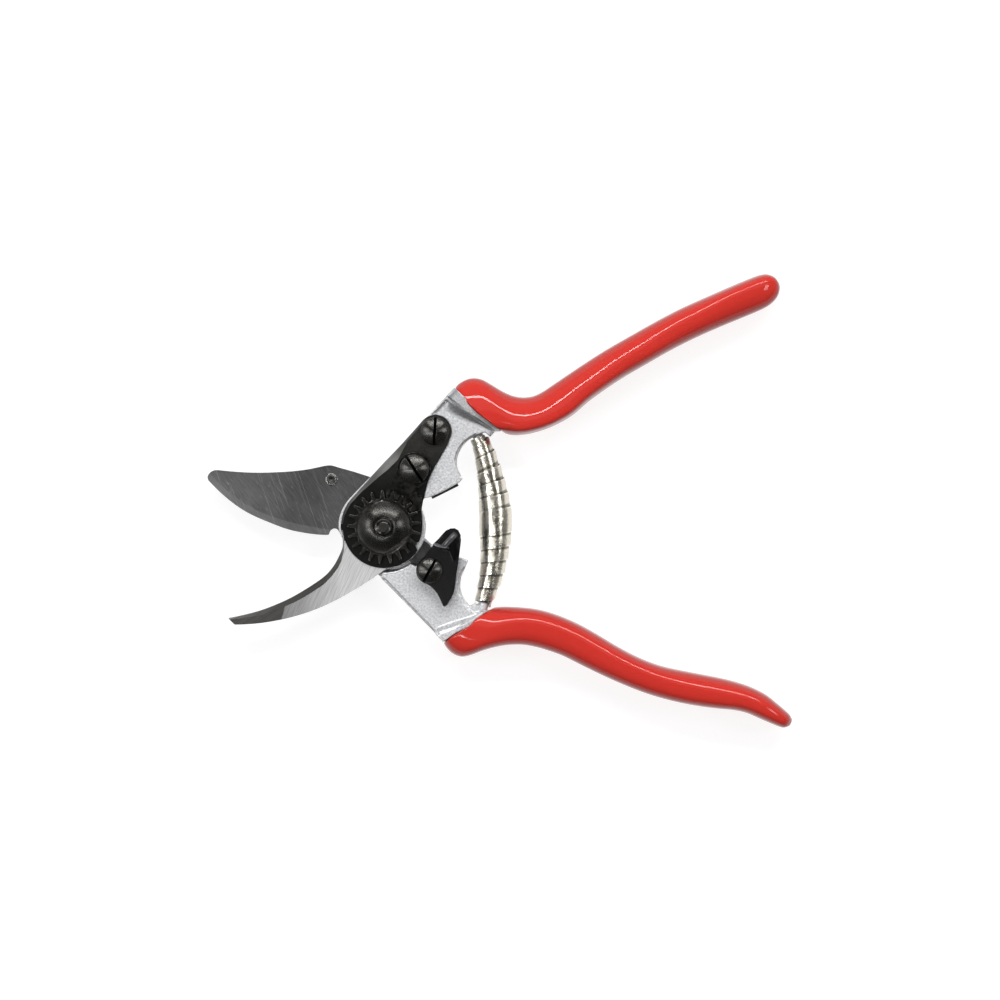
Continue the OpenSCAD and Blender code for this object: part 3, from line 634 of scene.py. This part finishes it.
def mat_catch():
    """black coated pressing; the crest and lip of the thumb pad carry a painted highlight, lighter and partly metallic
    """
    m = Mat("catch_black")
    f = m.noise(2400, 3, 0.6)
    g = m.noise(300, 3, 0.6)
    x, y, z = m.xyz()

    def near(p, q, w, zlo):
        ux, uy = q[0] - p[0], q[1] - p[1]
        ln = math.hypot(ux, uy)
        ux, uy = ux / ln, uy / ln
        across = m.math("ABSOLUTE", m.math("SUBTRACT", m.math("ADD", m.math("MULTIPLY", x, -uy), m.math("MULTIPLY", y, ux)), (-uy * p[0] + ux * p[1]) * MM))
        along = m.math("SUBTRACT", m.math("ADD", m.math("MULTIPLY", x, ux), m.math("MULTIPLY", y, uy)), (ux * p[0] + uy * p[1]) * MM)
        a = m.ramp(m.math("MULTIPLY", across, 1000.0 / (2 * w)), [(0.30, 1.0), (0.55, 0.0)])
        b = m.ramp(m.math("MULTIPLY_ADD", along, 1000.0 / (ln + 2), 1 / (ln + 2)), [(0.0, 0.0), (1 / (ln + 2), 1.0), ((ln + 0.6) / (ln + 2), 1.0), (1.0, 0.0)])
        h = m.ramp(m.math("MULTIPLY_ADD", z, 1000.0, -zlo), [(0.0, 0.0), (0.3, 1.0)])
        return m.math("MULTIPLY", m.math("MULTIPLY", a, b), h)

    # painted highlight along the crest and the lip of the thumb pad
    pad_highlight = m.math("MAXIMUM", near((19.3, -6.3), (22.9, -2.5), 0.95, 19.3), near((16.2, -5.6), (20.3, -6.75), 0.65, 18.3))
    c = m.mix(f, (0.002, 0.002, 0.0022), (0.005, 0.005, 0.0055))
    c = m.mix(m.math("MULTIPLY", pad_highlight, 0.9), c, (0.20, 0.20, 0.21))
    m.link(c, m.b.inputs["Base Color"])
    m.set(Metallic=0.0, IOR=1.36)
    m.link(m.math("MULTIPLY", pad_highlight, 0.7), m.b.inputs["Metallic"])
    m.link(m.ramp(f, [(0.3, 0.17), (0.7, 0.25)]), m.b.inputs["Roughness"])
    n = m.bump(f, 0.08, 0.02)
    n = m.bump(g, 0.06, 0.06, n)
    m.link(n, m.b.inputs["Normal"])
    return m.m


# foot of the hollow beside the upper grip, y(x) in metres
_l = np.array([(19.9, 38.0), (22.8, 36.3), (25.6, 34.9), (28.3, 33.8), (31.0, 32.9), (33.4, 32.2), (35.7, 31.6)]) * MM
COVE = [float(q) for q in np.polynomial.polynomial.polyfit(_l[:, 0], _l[:, 1], 2)]
# cutting edge as a cubic y(x) in metres, for the painted edge highlight
_e = np.array([(-56.5, 16.6), (-54, 13.3), (-50, 9.8), (-45, 6.5), (-40, 4.0), (-35, 2.0), (-30, 0.4), (-25, -0.8), (-20, -1.6), (-17, -1.9)]) * MM
EDGE = [float(q) for q in np.polynomial.polynomial.polyfit(_e[:, 0], _e[:, 1], 3)]
CAST, GRIP, SPRING, RUBBER, CATCH = mat_cast(), mat_grip(), mat_spring(), mat_rubber(), mat_catch()
BLADE = mat_blade("blade_steel", -57.0, 0.30, 0.62, 0.9)
ANVIL = mat_anvil()
STEEL = mat_plain_metal("plain_steel", (0.52, 0.52, 0.51))
# near-black steel for the blade screw's end and the stud pin: painted shade, as both sit deep in shade
DARK_SHADE_STEEL = mat_plain_metal("shade_dark_steel", (0.07, 0.07, 0.068), (0.3, 0.45), 0.8)
BRONZE = mat_plain_metal("sintered_bronze", (0.55, 0.38, 0.18), (0.35, 0.5))

# ------------------------------------------------------------------ grips
UG_A = [[22.9,45.3],[25,47.2],[28,48.4],[31.5,48.1],[35,46.2],[38.5,44.1],[42,42.6],[46,42.15],[50,43.2],
  [55,46.4],[60,49.8],[66,53.8],[72,57.6],[80,62.2],[88,66.7],[96,70.9],[104,74.5],[112,78],[118,80.5],
  [121.5,81.8],[124.2,82.2],[126.6,81.3],[128,79.6]]
UG_B = [[38.4,30.9],[39.2,30.4],[40,30.1],[40.9,29.9],[41.9,29.8],[43,29.75],[44.5,29.85],[48,30.4],[54,32.3],
  [60.8,35.9],[66.3,40.6],[72.1,44.8],[78.2,48.8],[85.5,53],[93,57.3],[100.5,61.1],[108.3,64.6],[115.8,67.7],
  [121.3,70],[124.7,71.7],[126.9,73.6],[128,75.3],[128.5,77]]
LG_A = [[34.2,-26.9],[35.5,-26.2],[37,-25.95],[38.5,-25.85],[40,-25.85],[41.5,-25.9],[43,-25.95],[45,-26.1],
  [48,-26.4],[52,-27.2],[57,-28.8],[63,-31.4],[69,-34.7],[76,-38.9],[83,-42.5],[90,-45.1],[97,-46.65],
  [104,-48],[110,-49.2],[115,-50.5],[119.5,-52.1],[124,-54.4],[127.3,-57],[130,-59.3],[131.6,-60.8],[132.3,-62]]
LG_B = [[19,-37.4],[20.2,-39.3],[22.2,-41.2],[25,-42.2],[28,-41.7],[31.5,-40.4],[35.5,-39.2],[40,-38.4],
  [45,-38.3],[49.5,-39.1],[53,-40.1],[58,-41.9],[64,-44.9],[71,-48.3],[78.5,-51.6],[86.5,-54.6],[95,-56.9],
  [102.5,-58.3],[108.5,-59.05],[113.3,-59.5],[117.5,-60.4],[121.5,-62.1],[125,-63.6],[127.7,-64.7],
  [129.6,-65.25],[131.2,-64.9]]
UG_TIP, LG_TIP = (128.48, 78.35), (132.3, -63.57)


def grip(name, A, B, tip, power, crest, mouth, sides=40, h=8.5):
    """soft coating: lip at the mouth, body, closed round end. crest(f) slides the section's crown towards A (+) or B (-)."""
    n = len(A) - 1

    def ring(f, inset, deep=0.0):
        ff = max(0.0, f)
        a, b = at(A, ff), at(B, ff)
        u = (b - a) / 2
        w = np.linalg.norm(u)
        c = (a + b) / 2
        u = u * (w - inset) / w
        hh = h
        if ff > n - 6:
            hh = h * math.sqrt(max(0.06, 1 - ((ff - n + 6) / 6.4) ** 2))
        hh -= inset
        back = at(A, 0.6) + at(B, 0.6) - at(A, 0) - at(B, 0)
        back = back / np.linalg.norm(back)
        out = []
        p = power(ff)
        s = crest(ff)
        for k in range(sides):
            t = 2 * math.pi * k / sides
            cc, ss = math.cos(t), math.sin(t)
            x = math.copysign(abs(cc) ** (2 / p), cc)
            z = math.copysign(abs(ss) ** (2 / p), ss)
            xs = x - s * (1 - x * x) * abs(z)
            q = c + u * xs
            push = mouth(xs) * max(0.0, 1 - ff / 2.2) if f < 2.2 else 0.0
            q = q - back * push + back * deep
            out.append((q[0], q[1], ZMID + hh * z))
        return out

    rows = [ring(0, 2.2, 3.2), ring(0, 2.0, 0.9), ring(0, 1.6, 0.02), ring(0, 1.15, -0.12), ring(0, 0.6, -0.02), ring(0, 0.22, 0.28), ring(0.22, 0.04)]
    f = 0.45
    while f < n - 1e-6:
        rows.append(ring(f, 0))
        f += 0.3
    rows.append(ring(n, 0))
    last = np.array(rows[-1])
    cen = last.mean(0)
    tipv = np.array([tip[0], tip[1], ZMID])
    rows.append([tuple(cen + (tipv - cen) * 0.55 + (q - cen) * 0.80) for q in last])
    rows.append([tuple(cen + (tipv - cen) * 0.88 + (q - cen) * 0.45) for q in last])
    v = [q for r in rows for q in r]
    first = np.array(rows[0]).mean(0)
    v.append(tuple(first))
    v.append(tuple(tipv))
    e0, e1 = len(v) - 2, len(v) - 1
    fc = []
    for i in range(len(rows) - 1):
        for k in range(sides):
            j = (k + 1) % sides
            fc.append((i * sides + k, i * sides + j, (i + 1) * sides + j, (i + 1) * sides + k))
    for k in range(sides):
        j = (k + 1) % sides
        fc.append((e0, j, k))
        base = (len(rows) - 1) * sides
        fc.append((e1, base + k, base + j))
    o = clean(obj(name, v, fc), 1e-7)
    sub = o.modifiers.new("s", "SUBSURF")
    sub.levels = sub.render_levels = 2
    bake(o)
    for p in o.data.polygons:
        p.use_smooth = True
    return o


def piecewise(points):
    def f(x):
        if x <= points[0][0]:
            return points[0][1]
        for (x0, y0), (x1, y1) in zip(points, points[1:]):
            if x <= x1:
                t = (x - x0) / (x1 - x0)
                t = t * t * (3 - 2 * t)
                return y0 + (y1 - y0) * t
        return points[-1][1]
    return f


ug = grip("upper_grip_coating", UG_A, UG_B, UG_TIP, piecewise([(0, 2.4), (4, 2.1), (10, 2.1), (14, 2.4), (22, 2.5)]),
          piecewise([(0, -0.42), (3, -0.47), (9, -0.48), (11, -0.38), (13, -0.22), (15, -0.02), (17, 0.20), (22, 0.25)]),
          piecewise([(-1, 0.3), (-0.85, 0.9), (0.1, 1.25), (0.7, 0.6), (1, 0.0)]))
dress(ug, "anvil_side", GRIP, "grip_coating", "upper_grip")
lg = grip("lower_grip_coating", LG_A, LG_B, LG_TIP, piecewise([(0, 2.6), (10, 2.8), (18, 2.6), (25, 2.4)]),
          piecewise([(0, -0.25), (5, -0.12), (9, -0.03), (14, 0.0), (17, -0.15), (25, -0.1)]),
          piecewise([(-1, 0.0), (-0.7, 0.75), (-0.45, 0.3), (-0.1, -0.6), (0.4, -0.15), (1, 0.0)]))
dress(lg, "blade_side", GRIP, "grip_coating", "lower_grip")

# ------------------------------------------------------------------ handles
uh = from_cad("upper_handle_casting", "upper_handle")
under = block("u1", [(24.9, 43.6), (36.6, 33.0), (39.2, 32.4), (40.6, 36), (30, 44.8), (27, 45.4)], 3.4, 13.6)
# cove that rises from the web to the collar under the grip
low_line = [(19.9, 38.0), (22.8, 36.3), (25.6, 34.9), (28.3, 33.8), (31.0, 32.9), (33.4, 32.2), (35.7, 31.6)]
wid = [2.9, 2.9, 2.7, 2.3, 1.8, 1.3, 0.9]
grow = [0.45, 0.85, 1, 1, 1, 1, 1]
nx, ny = 0.49, 0.87
prof = [(0, 13.3), (0.3, 13.5), (0.58, 14.0), (0.82, 14.75), (1.0, 15.3)]
cove = sweep("cove", [[(x - nx * 0.4, y - ny * 0.4, 9.0), (x - nx * 0.4, y - ny * 0.4, 13.0)]
                      + [(x + nx * w * d, y + ny * w * d, 13.3 + (z - 13.3) * g) for d, z in prof] + [(x + nx * w, y + ny * w, 9.0)]
                      for (x, y), w, g in zip(low_line, wid, grow)])
top_line = [(x + nx * w * 0.97, y + ny * w * 0.97) for (x, y), w in zip(low_line, wid)]
fill = block("fill", top_line + [(36.4, 32.3), (30.5, 36.8), (24, 40.6), (21.6, 42.1)], 9.0, [14.2, 15.0, 15.35, 15.35, 15.35, 15.35, 15.35, 15.35, 15.35, 15.35, 14.9])
edge_rim = bar("edge_rim", [(15.3, 36.6, 13.15), (17.2, 38.6, 13.3), (19.6, 41.2, 13.6), (21.4, 43.1, 14.1), (22.8, 44.5, 14.6)], [0.42, 0.5, 0.52, 0.52, 0.5])
uh = join(uh, under, cove, fill, edge_rim)
cast(uh, 0.2, 5, 0.35)
dress(uh, "anvil_side", CAST, "handle_casting", "upper_handle")
lh = from_cad("lower_handle_casting", "lower_handle")
under = block("u2", [(21.6, -37.4), (23.4, -38.9), (28, -38.6), (35, -35.5), (35.4, -29.6), (33.0, -29.0)], 3.4, 13.6)
# rounded shoulder between the web and the collar under the grip
ridge = [(17.6, -33.9), (20.8, -32.8), (24.1, -31.6), (27.2, -30.5), (29.9, -29.5)]
nx, ny = -0.345, 0.939
prof = [(1.7, 13.9), (0.9, 14.5), (0.25, 15.05), (-0.2, 15.36), (-0.7, 15.5), (-2.2, 15.55)]
reach = [1.0, 1.0, 0.95, 0.85, 0.7]
shoulder = sweep("shoulder", [[(x + nx * 2.0, y + ny * 2.0, 9.0), (x + nx * 2.0, y + ny * 2.0, 13.6)]
                              + [(x + nx * d * q, y + ny * d * q, z) for d, z in prof] + [(x - nx * 2.2 * q, y - ny * 2.2 * q, 9.0)]
                              for (x, y), q in zip(ridge, reach)])
lh = join(lh, under, shoulder)
cast(lh, 0.2, 5, 0.35)
dress(lh, "blade_side", CAST, "handle_casting", "lower_handle")

# ------------------------------------------------------------------ blades
cb = from_cad("cutting_blade_ground", "cutting_blade")
bevel(cb, 0.10, 2, 25)
shade(cb, 30)
dress(cb, "blade_side", BLADE, "blade_steel", "cutting_blade")

ab = from_cad("anvil_blade_ground", "anvil_blade")
bevel(ab, 0.22, 2, 20)
shade(ab, 30)
dress(ab, "anvil_side", ANVIL, "black_steel", "anvil_blade")

# ------------------------------------------------------------------ turned and toothed pieces
SCREWB = mat_black("screw_black", 0.075, 0.97, (0.25, 0.28), True, edge_wear_and_highlight=0.10, spots=0.02, uneven=0.08)
# near-black, rough: painted shade for the inside of the screw slots
SLOT_SHADE = mat_black("slot_shade_black", 0.002, 0.9, (0.6, 0.8), edge_wear_and_highlight=0.0, spots=0.02)


def screw(name, centre, z, head, h, slot_turn, shank, length, mat, slot_w=0.95, slot_d=2.0):
    rho = head / math.sin(math.radians(33))
    rim = h - (rho - math.sqrt(rho * rho - head * head))
    prof = [(0, -length), (shank, -length), (shank, 0), (head - 0.2, 0), (head, 0.2), (head, rim - 0.22), (head - 0.06, rim - 0.07), (head - 0.2, rim + 0.08)]
    for k in range(9, -1, -1):
        r = head * 0.94 * k / 9
        prof.append((r, h - (rho - math.sqrt(rho * rho - r * r))))
    o = lathe(name, prof, centre, z)
    tool = box("t", (-head - 1, -slot_w / 2, z + h - slot_d), (head + 1, slot_w / 2, z + h + 3), slot_turn, centre)
    cut(o, tool)
    clean(o, 1e-6)
    bevel(o, 0.07, 2, 38)
    shade(o, 32)
    return o


for nm, cen, z, hd, h, turn, sh, ln, body, node in (
        ("anvil_blade_screw", (16.5, 31), 14.2, 4.55, 2.7, 87, 2.2, 8.2, "anvil_side", "anvil_screw"),
        ("segment_lock_screw", (9.9, 18.8), 15.9, 4.7, 2.7, -57, 2.2, 9.8, "anvil_side", "segment_screw"),
        ("catch_pivot_screw", (14.9, -14), 18.2, 4.1, 2.4, 61, 2.2, 11.0, "blade_side", "catch_screw")):
    o = screw(nm, cen, z, hd, h, turn, sh, ln, None)
    dress(o, body, [SCREWB, SLOT_SHADE], "black_steel", node)
    # inside of the slot: near-black material, painted shade in the recess
    a = math.radians(turn)
    for p in o.data.polygons:
        v = -(p.center.x / MM - cen[0]) * math.sin(a) + (p.center.y / MM - cen[1]) * math.cos(a)
        if abs(v) <= 0.48 and p.center.z > (z + 0.05) * MM:
            p.material_index = 1

sg = from_cad("toothed_segment_plate", "toothed_segment")
bevel(sg, 0.22, 2, 30)
shade(sg, 30)
dress(sg, "anvil_side", mat_black("segment_black", 0.0028, 0.8, (0.14, 0.22), edge_wear_and_highlight=0.9, spots=0.03), "black_steel", "toothed_segment")

# nut: toothed flange, two-flatted dome
teeth = []
NT = 21
for i in range(NT):
    a0 = 92.5 + i * 360 / NT
    for da, r in ((-5.6, 9.35), (-4.2, 10.0), (-2.5, 11.75), (-1.5, 12.0), (1.5, 12.0), (2.5, 11.75), (4.2, 10.0), (5.6, 9.35)):
        a = math.radians(a0 + da)
        teeth.append((r * math.cos(a), r * math.sin(a)))
fl = block("nut_flange", teeth, 14.25, 15.85)
bevel(fl, 0.32, 3, 40)
dome = lathe("nut_dome", [(0, 15.0), (8.7, 15.0), (8.7, 16.35), (8.55, 16.75), (8.2, 17.2), (7.7, 17.7), (7.1, 18.18), (6.4, 18.63), (5.6, 19.03), (4.8, 19.33), (4.2, 19.46), (3.85, 19.5), (3.6, 19.5), (3.45, 19.42), (3.35, 19.3), (3.3, 18.0), (0, 18.0)])
for s in (1, -1):
    tool = box("t", (-15, 6.85 if s > 0 else -15, 15.95), (15, 15 if s > 0 else -6.85, 30), 38)
    cut(dome, tool)
clean(dome, 1e-6)
bevel(dome, 0.14, 2, 35)
NUTMAT = mat_black("nut_black", 0.062, 0.97, (0.25, 0.28), True, edge_wear_and_highlight=0.12, spots=0.02, uneven=0.08)
nut = join(fl, dome)
nut.name = "pivot_nut_toothed"
shade(nut, 32)
dress(nut, "anvil_side", [NUTMAT, mat_black("nut_flange_black", 0.032, 0.92, (0.14, 0.22), edge_wear_and_highlight=0.9, spots=0.04)], "black_steel", "pivot_nut")
for p in nut.data.polygons:
    if p.center.z < 0.01596:
        p.material_index = 1

bolt = from_cad("pivot_bolt_turned", "pivot_bolt")
bevel(bolt, 0.2, 2, 30)
# bolt's end with a three-sided centre mark
seg, tipv, tipf = 48, [], []
rings = [(2.95, 17.6), (2.95, 18.75), (2.75, 19.0), (2.3, 19.12)]
for r, z in rings:
    tipv += [(r * math.cos(2 * math.pi * k / seg), r * math.sin(2 * math.pi * k / seg), z) for k in range(seg)]
for r, zz in ((1.95, 19.0), (1.0, 18.75)):
    for k in range(seg):
        a = 2 * math.pi * k / seg
        lift = abs(math.cos(1.5 * (a - math.pi / 2)))
        tipv.append((r * math.cos(a), r * math.sin(a), zz - 0.35 * (1 - lift) * (r / 1.95)))
tipv.append((0, 0, 18.45))
tipv.append((0, 0, 17.6))
nr = len(rings) + 2
for i in range(nr - 1):
    for k in range(seg):
        j = (k + 1) % seg
        tipf.append((i * seg + k, i * seg + j, (i + 1) * seg + j, (i + 1) * seg + k))
for k in range(seg):
    j = (k + 1) % seg
    tipf.append(((nr - 1) * seg + k, (nr - 1) * seg + j, nr * seg))
    tipf.append((j, k, nr * seg + 1))
tip = clean(obj("tip", tipv, tipf), 1e-7)
bolt = join(bolt, tip)
shade(bolt, 30)
dress(bolt, "anvil_side", mat_black("bolt_black", 0.06, 0.95, (0.18, 0.24), False, edge_wear_and_highlight=0.15, spots=0.03, uneven=0.3), "black_steel", "pivot_bolt")

# ------------------------------------------------------------------ thumb catch
tc = from_cad("thumb_catch_moulded", "thumb_catch")
P = {"A": (15.8, -5.6, 18.55), "B": (17.6, -6.2, 19.2), "C": (19.2, -6.5, 20.0), "D": (20.3, -6.7, 20.25), "G": (21.3, -7.4, 19.8),
     "H": (22.7, -10.8, 18.1), "I": (24.2, -9, 18.1), "J": (24.75, -5, 18.3), "K": (24.95, -2.6, 18.6), "L": (24.2, -1, 18.8),
     "M": (23, -0.35, 18.95), "N": (21.5, -0.45, 18.95), "O": (20, -1.4, 18.9), "P": (18, -3.5, 18.75),
     "E": (22.4, -2.9, 20.15), "F": (23.1, -3.3, 20.1), "Q": (19.9, -4.2, 18.45)}
loop = "ABCDGHIJKLMNOP"
low = {k: (18.35 if k in "KLMNO" else 17.2) for k in loop}
names = list(loop) + ["E", "F", "Q"]
idx = {k: i for i, k in enumerate(names)}
v = [P[k] for k in names] + [(P[k][0], P[k][1], low[k]) for k in loop]
lb = {k: len(names) + i for i, k in enumerate(loop)}
f = [tuple(idx[c] for c in t) for t in ("ABQ", "BCQ", "CEQ", "ENQ", "NOQ", "OPQ", "PAQ", "CDF", "CFE", "DGF", "GHF", "HIF", "IJF", "JKF", "KLF", "LMF", "MEF", "MNE")]
f += [(idx[loop[i]], lb[loop[i]], lb[loop[(i + 1) % 14]], idx[loop[(i + 1) % 14]]) for i in range(14)]
f.append(tuple(lb[k] for k in reversed(loop)))
lug = clean(obj("lug", v, f), 1e-7)
crest = bar("crest", [(19.3, -6.35, 19.75), (19.9, -5.7, 20.05), (20.9, -4.55, 20.2), (21.9, -3.4, 20.2), (22.7, -2.6, 19.95)], [0.34, 0.55, 0.62, 0.60, 0.36])
lip = bar("lip", [(16.1, -5.6, 18.45), (17.0, -5.95, 18.75), (18.2, -6.3, 19.2), (19.3, -6.5, 19.7), (20.2, -6.6, 19.95)], [0.26, 0.36, 0.40, 0.42, 0.36])
tc = join(tc, lug, crest, lip)
cast(tc, 0.10, 4, 0.35)
dress(tc, "catch", CATCH, "catch_black", "thumb_catch")

# ------------------------------------------------------------------ return spring
AX = [[30.6,29],[32.2,25],[33.5,20.5],[34.7,15],[35.5,10],[36,5],[36.1,0],[36,-5],[35.6,-10],[34.8,-15],[33.5,-20],[32,-25.3]]
TURNS, PER = 12, 40
NS = TURNS * PER
m = len(AX) - 1
v, f = [], []
L0, L1 = 0.035, 0.972
CROSS = (-1, -0.94, -0.6, -0.2, 0.2, 0.6, 0.94, 1)
NC = len(CROSS)
for i in range(NS + 1):
    s = i / NS
    g = L0 + (L1 - L0) * s
    c = at(AX, g * m)
    d = at(AX, g * m + 0.05) - at(AX, g * m - 0.05)
    u = d / np.linalg.norm(d)
    w = np.array([-u[1], u[0]])
    a = 2 * math.pi * (i / PER) + 0.6
    k = 1 - abs(2 * s - 1)
    r = 2.60 + 2.85 * (k ** 0.92)
    end = min(1.0, s * TURNS / 0.7, (1 - s) * TURNS / 0.7)
    hw = 4.2 * (0.45 + 0.55 * end)
    # the strip is crowned, and leans out towards the middle of the spring as a telescoped turn does
    lean = 0.12 * (-1 if s < 0.5 else 1) * min(1.0, abs(2 * s - 1) * 5)
    wave = 0.05 * math.sin(5.3 * a) + 0.04 * math.sin(2.7 * a + 1)
    for side, order in ((0.0, CROSS), (-0.28, CROSS[::-1])):
        for q in order:
            rr = r + side + lean * q + (0.14 + wave) * (1 - q * q) - 0.12
            v.append((c[0] + w[0] * rr * math.cos(a) + u[0] * q * hw, c[1] + w[1] * rr * math.cos(a) + u[1] * q * hw, ZMID + rr * math.sin(a)))
NQ = 2 * NC
for i in range(NS):
    for k in range(NQ):
        j = (k + 1) % NQ
        f.append((NQ * i + k, NQ * i + NQ + k, NQ * i + NQ + j, NQ * i + j))
f.append(tuple(range(NQ - 1, -1, -1)))
f.append(tuple(NQ * NS + k for k in range(NQ)))
sp = obj("return_spring_volute", v, f)
uvs = sp.data.uv_layers.new(name="strip")
vals = [(q + 1) / 2 for q in CROSS] + [(q + 1) / 2 for q in CROSS[::-1]]
for loop_ in sp.data.loops:
    i = loop_.vertex_index
    uvs.data[loop_.index].uv = ((i // NQ) / PER, vals[i % NQ])
bm = bmesh.new()
bm.from_mesh(sp.data)
bmesh.ops.recalc_face_normals(bm, faces=bm.faces)
for fc in bm.faces:
    fc.smooth = True
for ed in bm.edges:
    ed.smooth = not (len(ed.link_faces) == 2 and ed.calc_face_angle(0) > 0.7)
bm.to_mesh(sp.data)
bm.free()
sp.data.materials.append(SPRING)
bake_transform(sp)
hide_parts("return_spring")

# ------------------------------------------------------------------ small pieces
bf = from_cad("stop_buffer_rubber", "stop_buffer")
bevel(bf, 0.25, 3, 40)
shade(bf, 40)
dress(bf, "anvil_side", RUBBER, "buffer_rubber", "stop_buffer")
for node, name, mat, slot, body in (
        ("blade_screw", "blade_screw_steel", DARK_SHADE_STEEL, "bright_steel", "blade_side"),
        ("blade_dowel", "blade_dowel_steel", STEEL, "bright_steel", "blade_side"),
        ("pivot_washer", "pivot_washer_steel", STEEL, "bright_steel", "anvil_side"),
        ("pivot_bush", "pivot_bush_bronze", BRONZE, "bush_bronze", "blade_side"),
        ("catch_washer", "catch_washer_steel", STEEL, "bright_steel", "blade_side")):
    o = from_cad(name, node)
    bevel(o, 0.08, 2, 40)
    shade(o, 35)
    dress(o, body, mat, slot, node)
st = lathe("blade_stud_pin", [(0, 6.4), (1.3, 6.4), (1.3, 9.45), (1.1, 9.55), (0.75, 9.4), (0.35, 9.1), (0, 9.0)], (-17.1, 15.4), 0, 48)
shade(st, 40)
dress(st, "blade_side", DARK_SHADE_STEEL, "bright_steel", "blade_stud")
rg = lathe("blade_stud_ring", [(1.34, 9.5), (1.34, 9.66), (1.5, 9.685), (1.85, 9.66), (2.0, 9.58), (2.0, 9.5)], (-17.1, 15.4), 0, 64)
shade(rg, 40)
dress(rg, "blade_side", mat_plain_metal("stud_ring_steel", (0.20, 0.20, 0.195), (0.2, 0.35)), "bright_steel")

# ------------------------------------------------------------------ stage, light, camera
fm = bpy.data.meshes.new("floor")
fm.from_pydata([(-3, -3, 0), (3, -3, 0), (3, 3, 0), (-3, 3, 0)], [], [(0, 1, 2, 3)])
floor = bpy.data.objects.new("floor", fm)
floor.location = (0, 0, -0.0002)
bpy.context.scene.collection.objects.link(floor)
mf = Mat("pale_floor")
mf.set(Base_Color=(0.30, 0.30, 0.30, 1), Roughness=0.9, Emission_Strength=0.84)
mf.b.inputs["Specular IOR Level"].default_value = 0.0
mf.b.inputs["Emission Color"].default_value = (1, 1, 1, 1)
mf.link(mf.ramp(mf.noise(30, 2), [(0.0, 0.88), (1.0, 0.92)]), mf.b.inputs["Roughness"])
fm.materials.append(mf.m)

scene = bpy.context.scene
world = bpy.data.worlds.new("studio")
scene.world = world
world.use_nodes = True
wt = world.node_tree
wt.nodes.clear()
wo = wt.nodes.new("ShaderNodeOutputWorld")
bg = wt.nodes.new("ShaderNodeBackground")
tc_ = wt.nodes.new("ShaderNodeTexCoord")
sx = wt.nodes.new("ShaderNodeSeparateXYZ")
rp = wt.nodes.new("ShaderNodeValToRGB")
wt.links.new(tc_.outputs["Generated"], sx.inputs[0])
wt.links.new(sx.outputs[2], rp.inputs[0])
e = rp.color_ramp.elements
e[0].position, e[0].color = 0.10, (0.42, 0.42, 0.42, 1)
e[1].position, e[1].color = 0.80, (0.08, 0.08, 0.08, 1)
lean_ = wt.nodes.new("ShaderNodeMath")
lean_.operation = "MULTIPLY_ADD"
wt.links.new(sx.outputs[1], lean_.inputs[0])
lean_.inputs[1].default_value, lean_.inputs[2].default_value = 0.45, 0.80
sc = wt.nodes.new("ShaderNodeVectorMath")
sc.operation = "SCALE"
wt.links.new(rp.outputs[0], sc.inputs[0])
wt.links.new(lean_.outputs[0], sc.inputs["Scale"])
wt.links.new(sc.outputs[0], bg.inputs["Color"])
bg.inputs["Strength"].default_value = 1.0
wt.links.new(bg.outputs[0], wo.inputs[0])


def panel(name, centre, length, width, radiance, turn=0.0, aim=(0.037, 0.008, 0.01)):
    """soft light panel facing the object; its long side runs along the direction turn"""
    li = bpy.data.lights.new(name, "AREA")
    li.shape, li.size, li.size_y = "RECTANGLE", length, width
    li.energy = radiance * math.pi * length * width
    o = bpy.data.objects.new(name, li)
    o.location = centre
    d = (Vector(aim) - Vector(centre)).normalized()
    want = Vector((math.cos(math.radians(turn)), math.sin(math.radians(turn)), 0))
    x = (want - d * want.dot(d)).normalized()
    y = (-d).cross(x)
    o.rotation_mode = "QUATERNION"
    o.rotation_quaternion = Matrix((x, y, -d)).transposed().to_quaternion()
    scene.collection.objects.link(o)
    return o


panel("strip_top", (0.10, 0.92, 1.10), 1.7, 0.11, 24)
panel("strip_near", (-0.46, -0.15, 1.18), 0.95, 0.05, 18)
panel("wash_top", (0.10, 0.60, 1.25), 1.6, 0.40, 0.6)
panel("soft_left", (-0.85, 0.18, 1.05), 0.36, 0.26, 8.0, 90)
panel("soft_right", (0.92, 0.18, 1.05), 0.36, 0.26, 8.0, 90)

cam = bpy.data.cameras.new("camera")
DIST = 1.3
cam.sensor_width, cam.lens = 36.0, 36.0 * DIST / 0.325
co = bpy.data.objects.new("camera", cam)
co.location = (0.0376, 0.008775, DIST + 0.009)
co.rotation_euler = (0, 0, 0)
cam.clip_start, cam.clip_end = 0.01, 20
scene.collection.objects.link(co)
scene.camera = co
scene.view_settings.view_transform = "Standard"
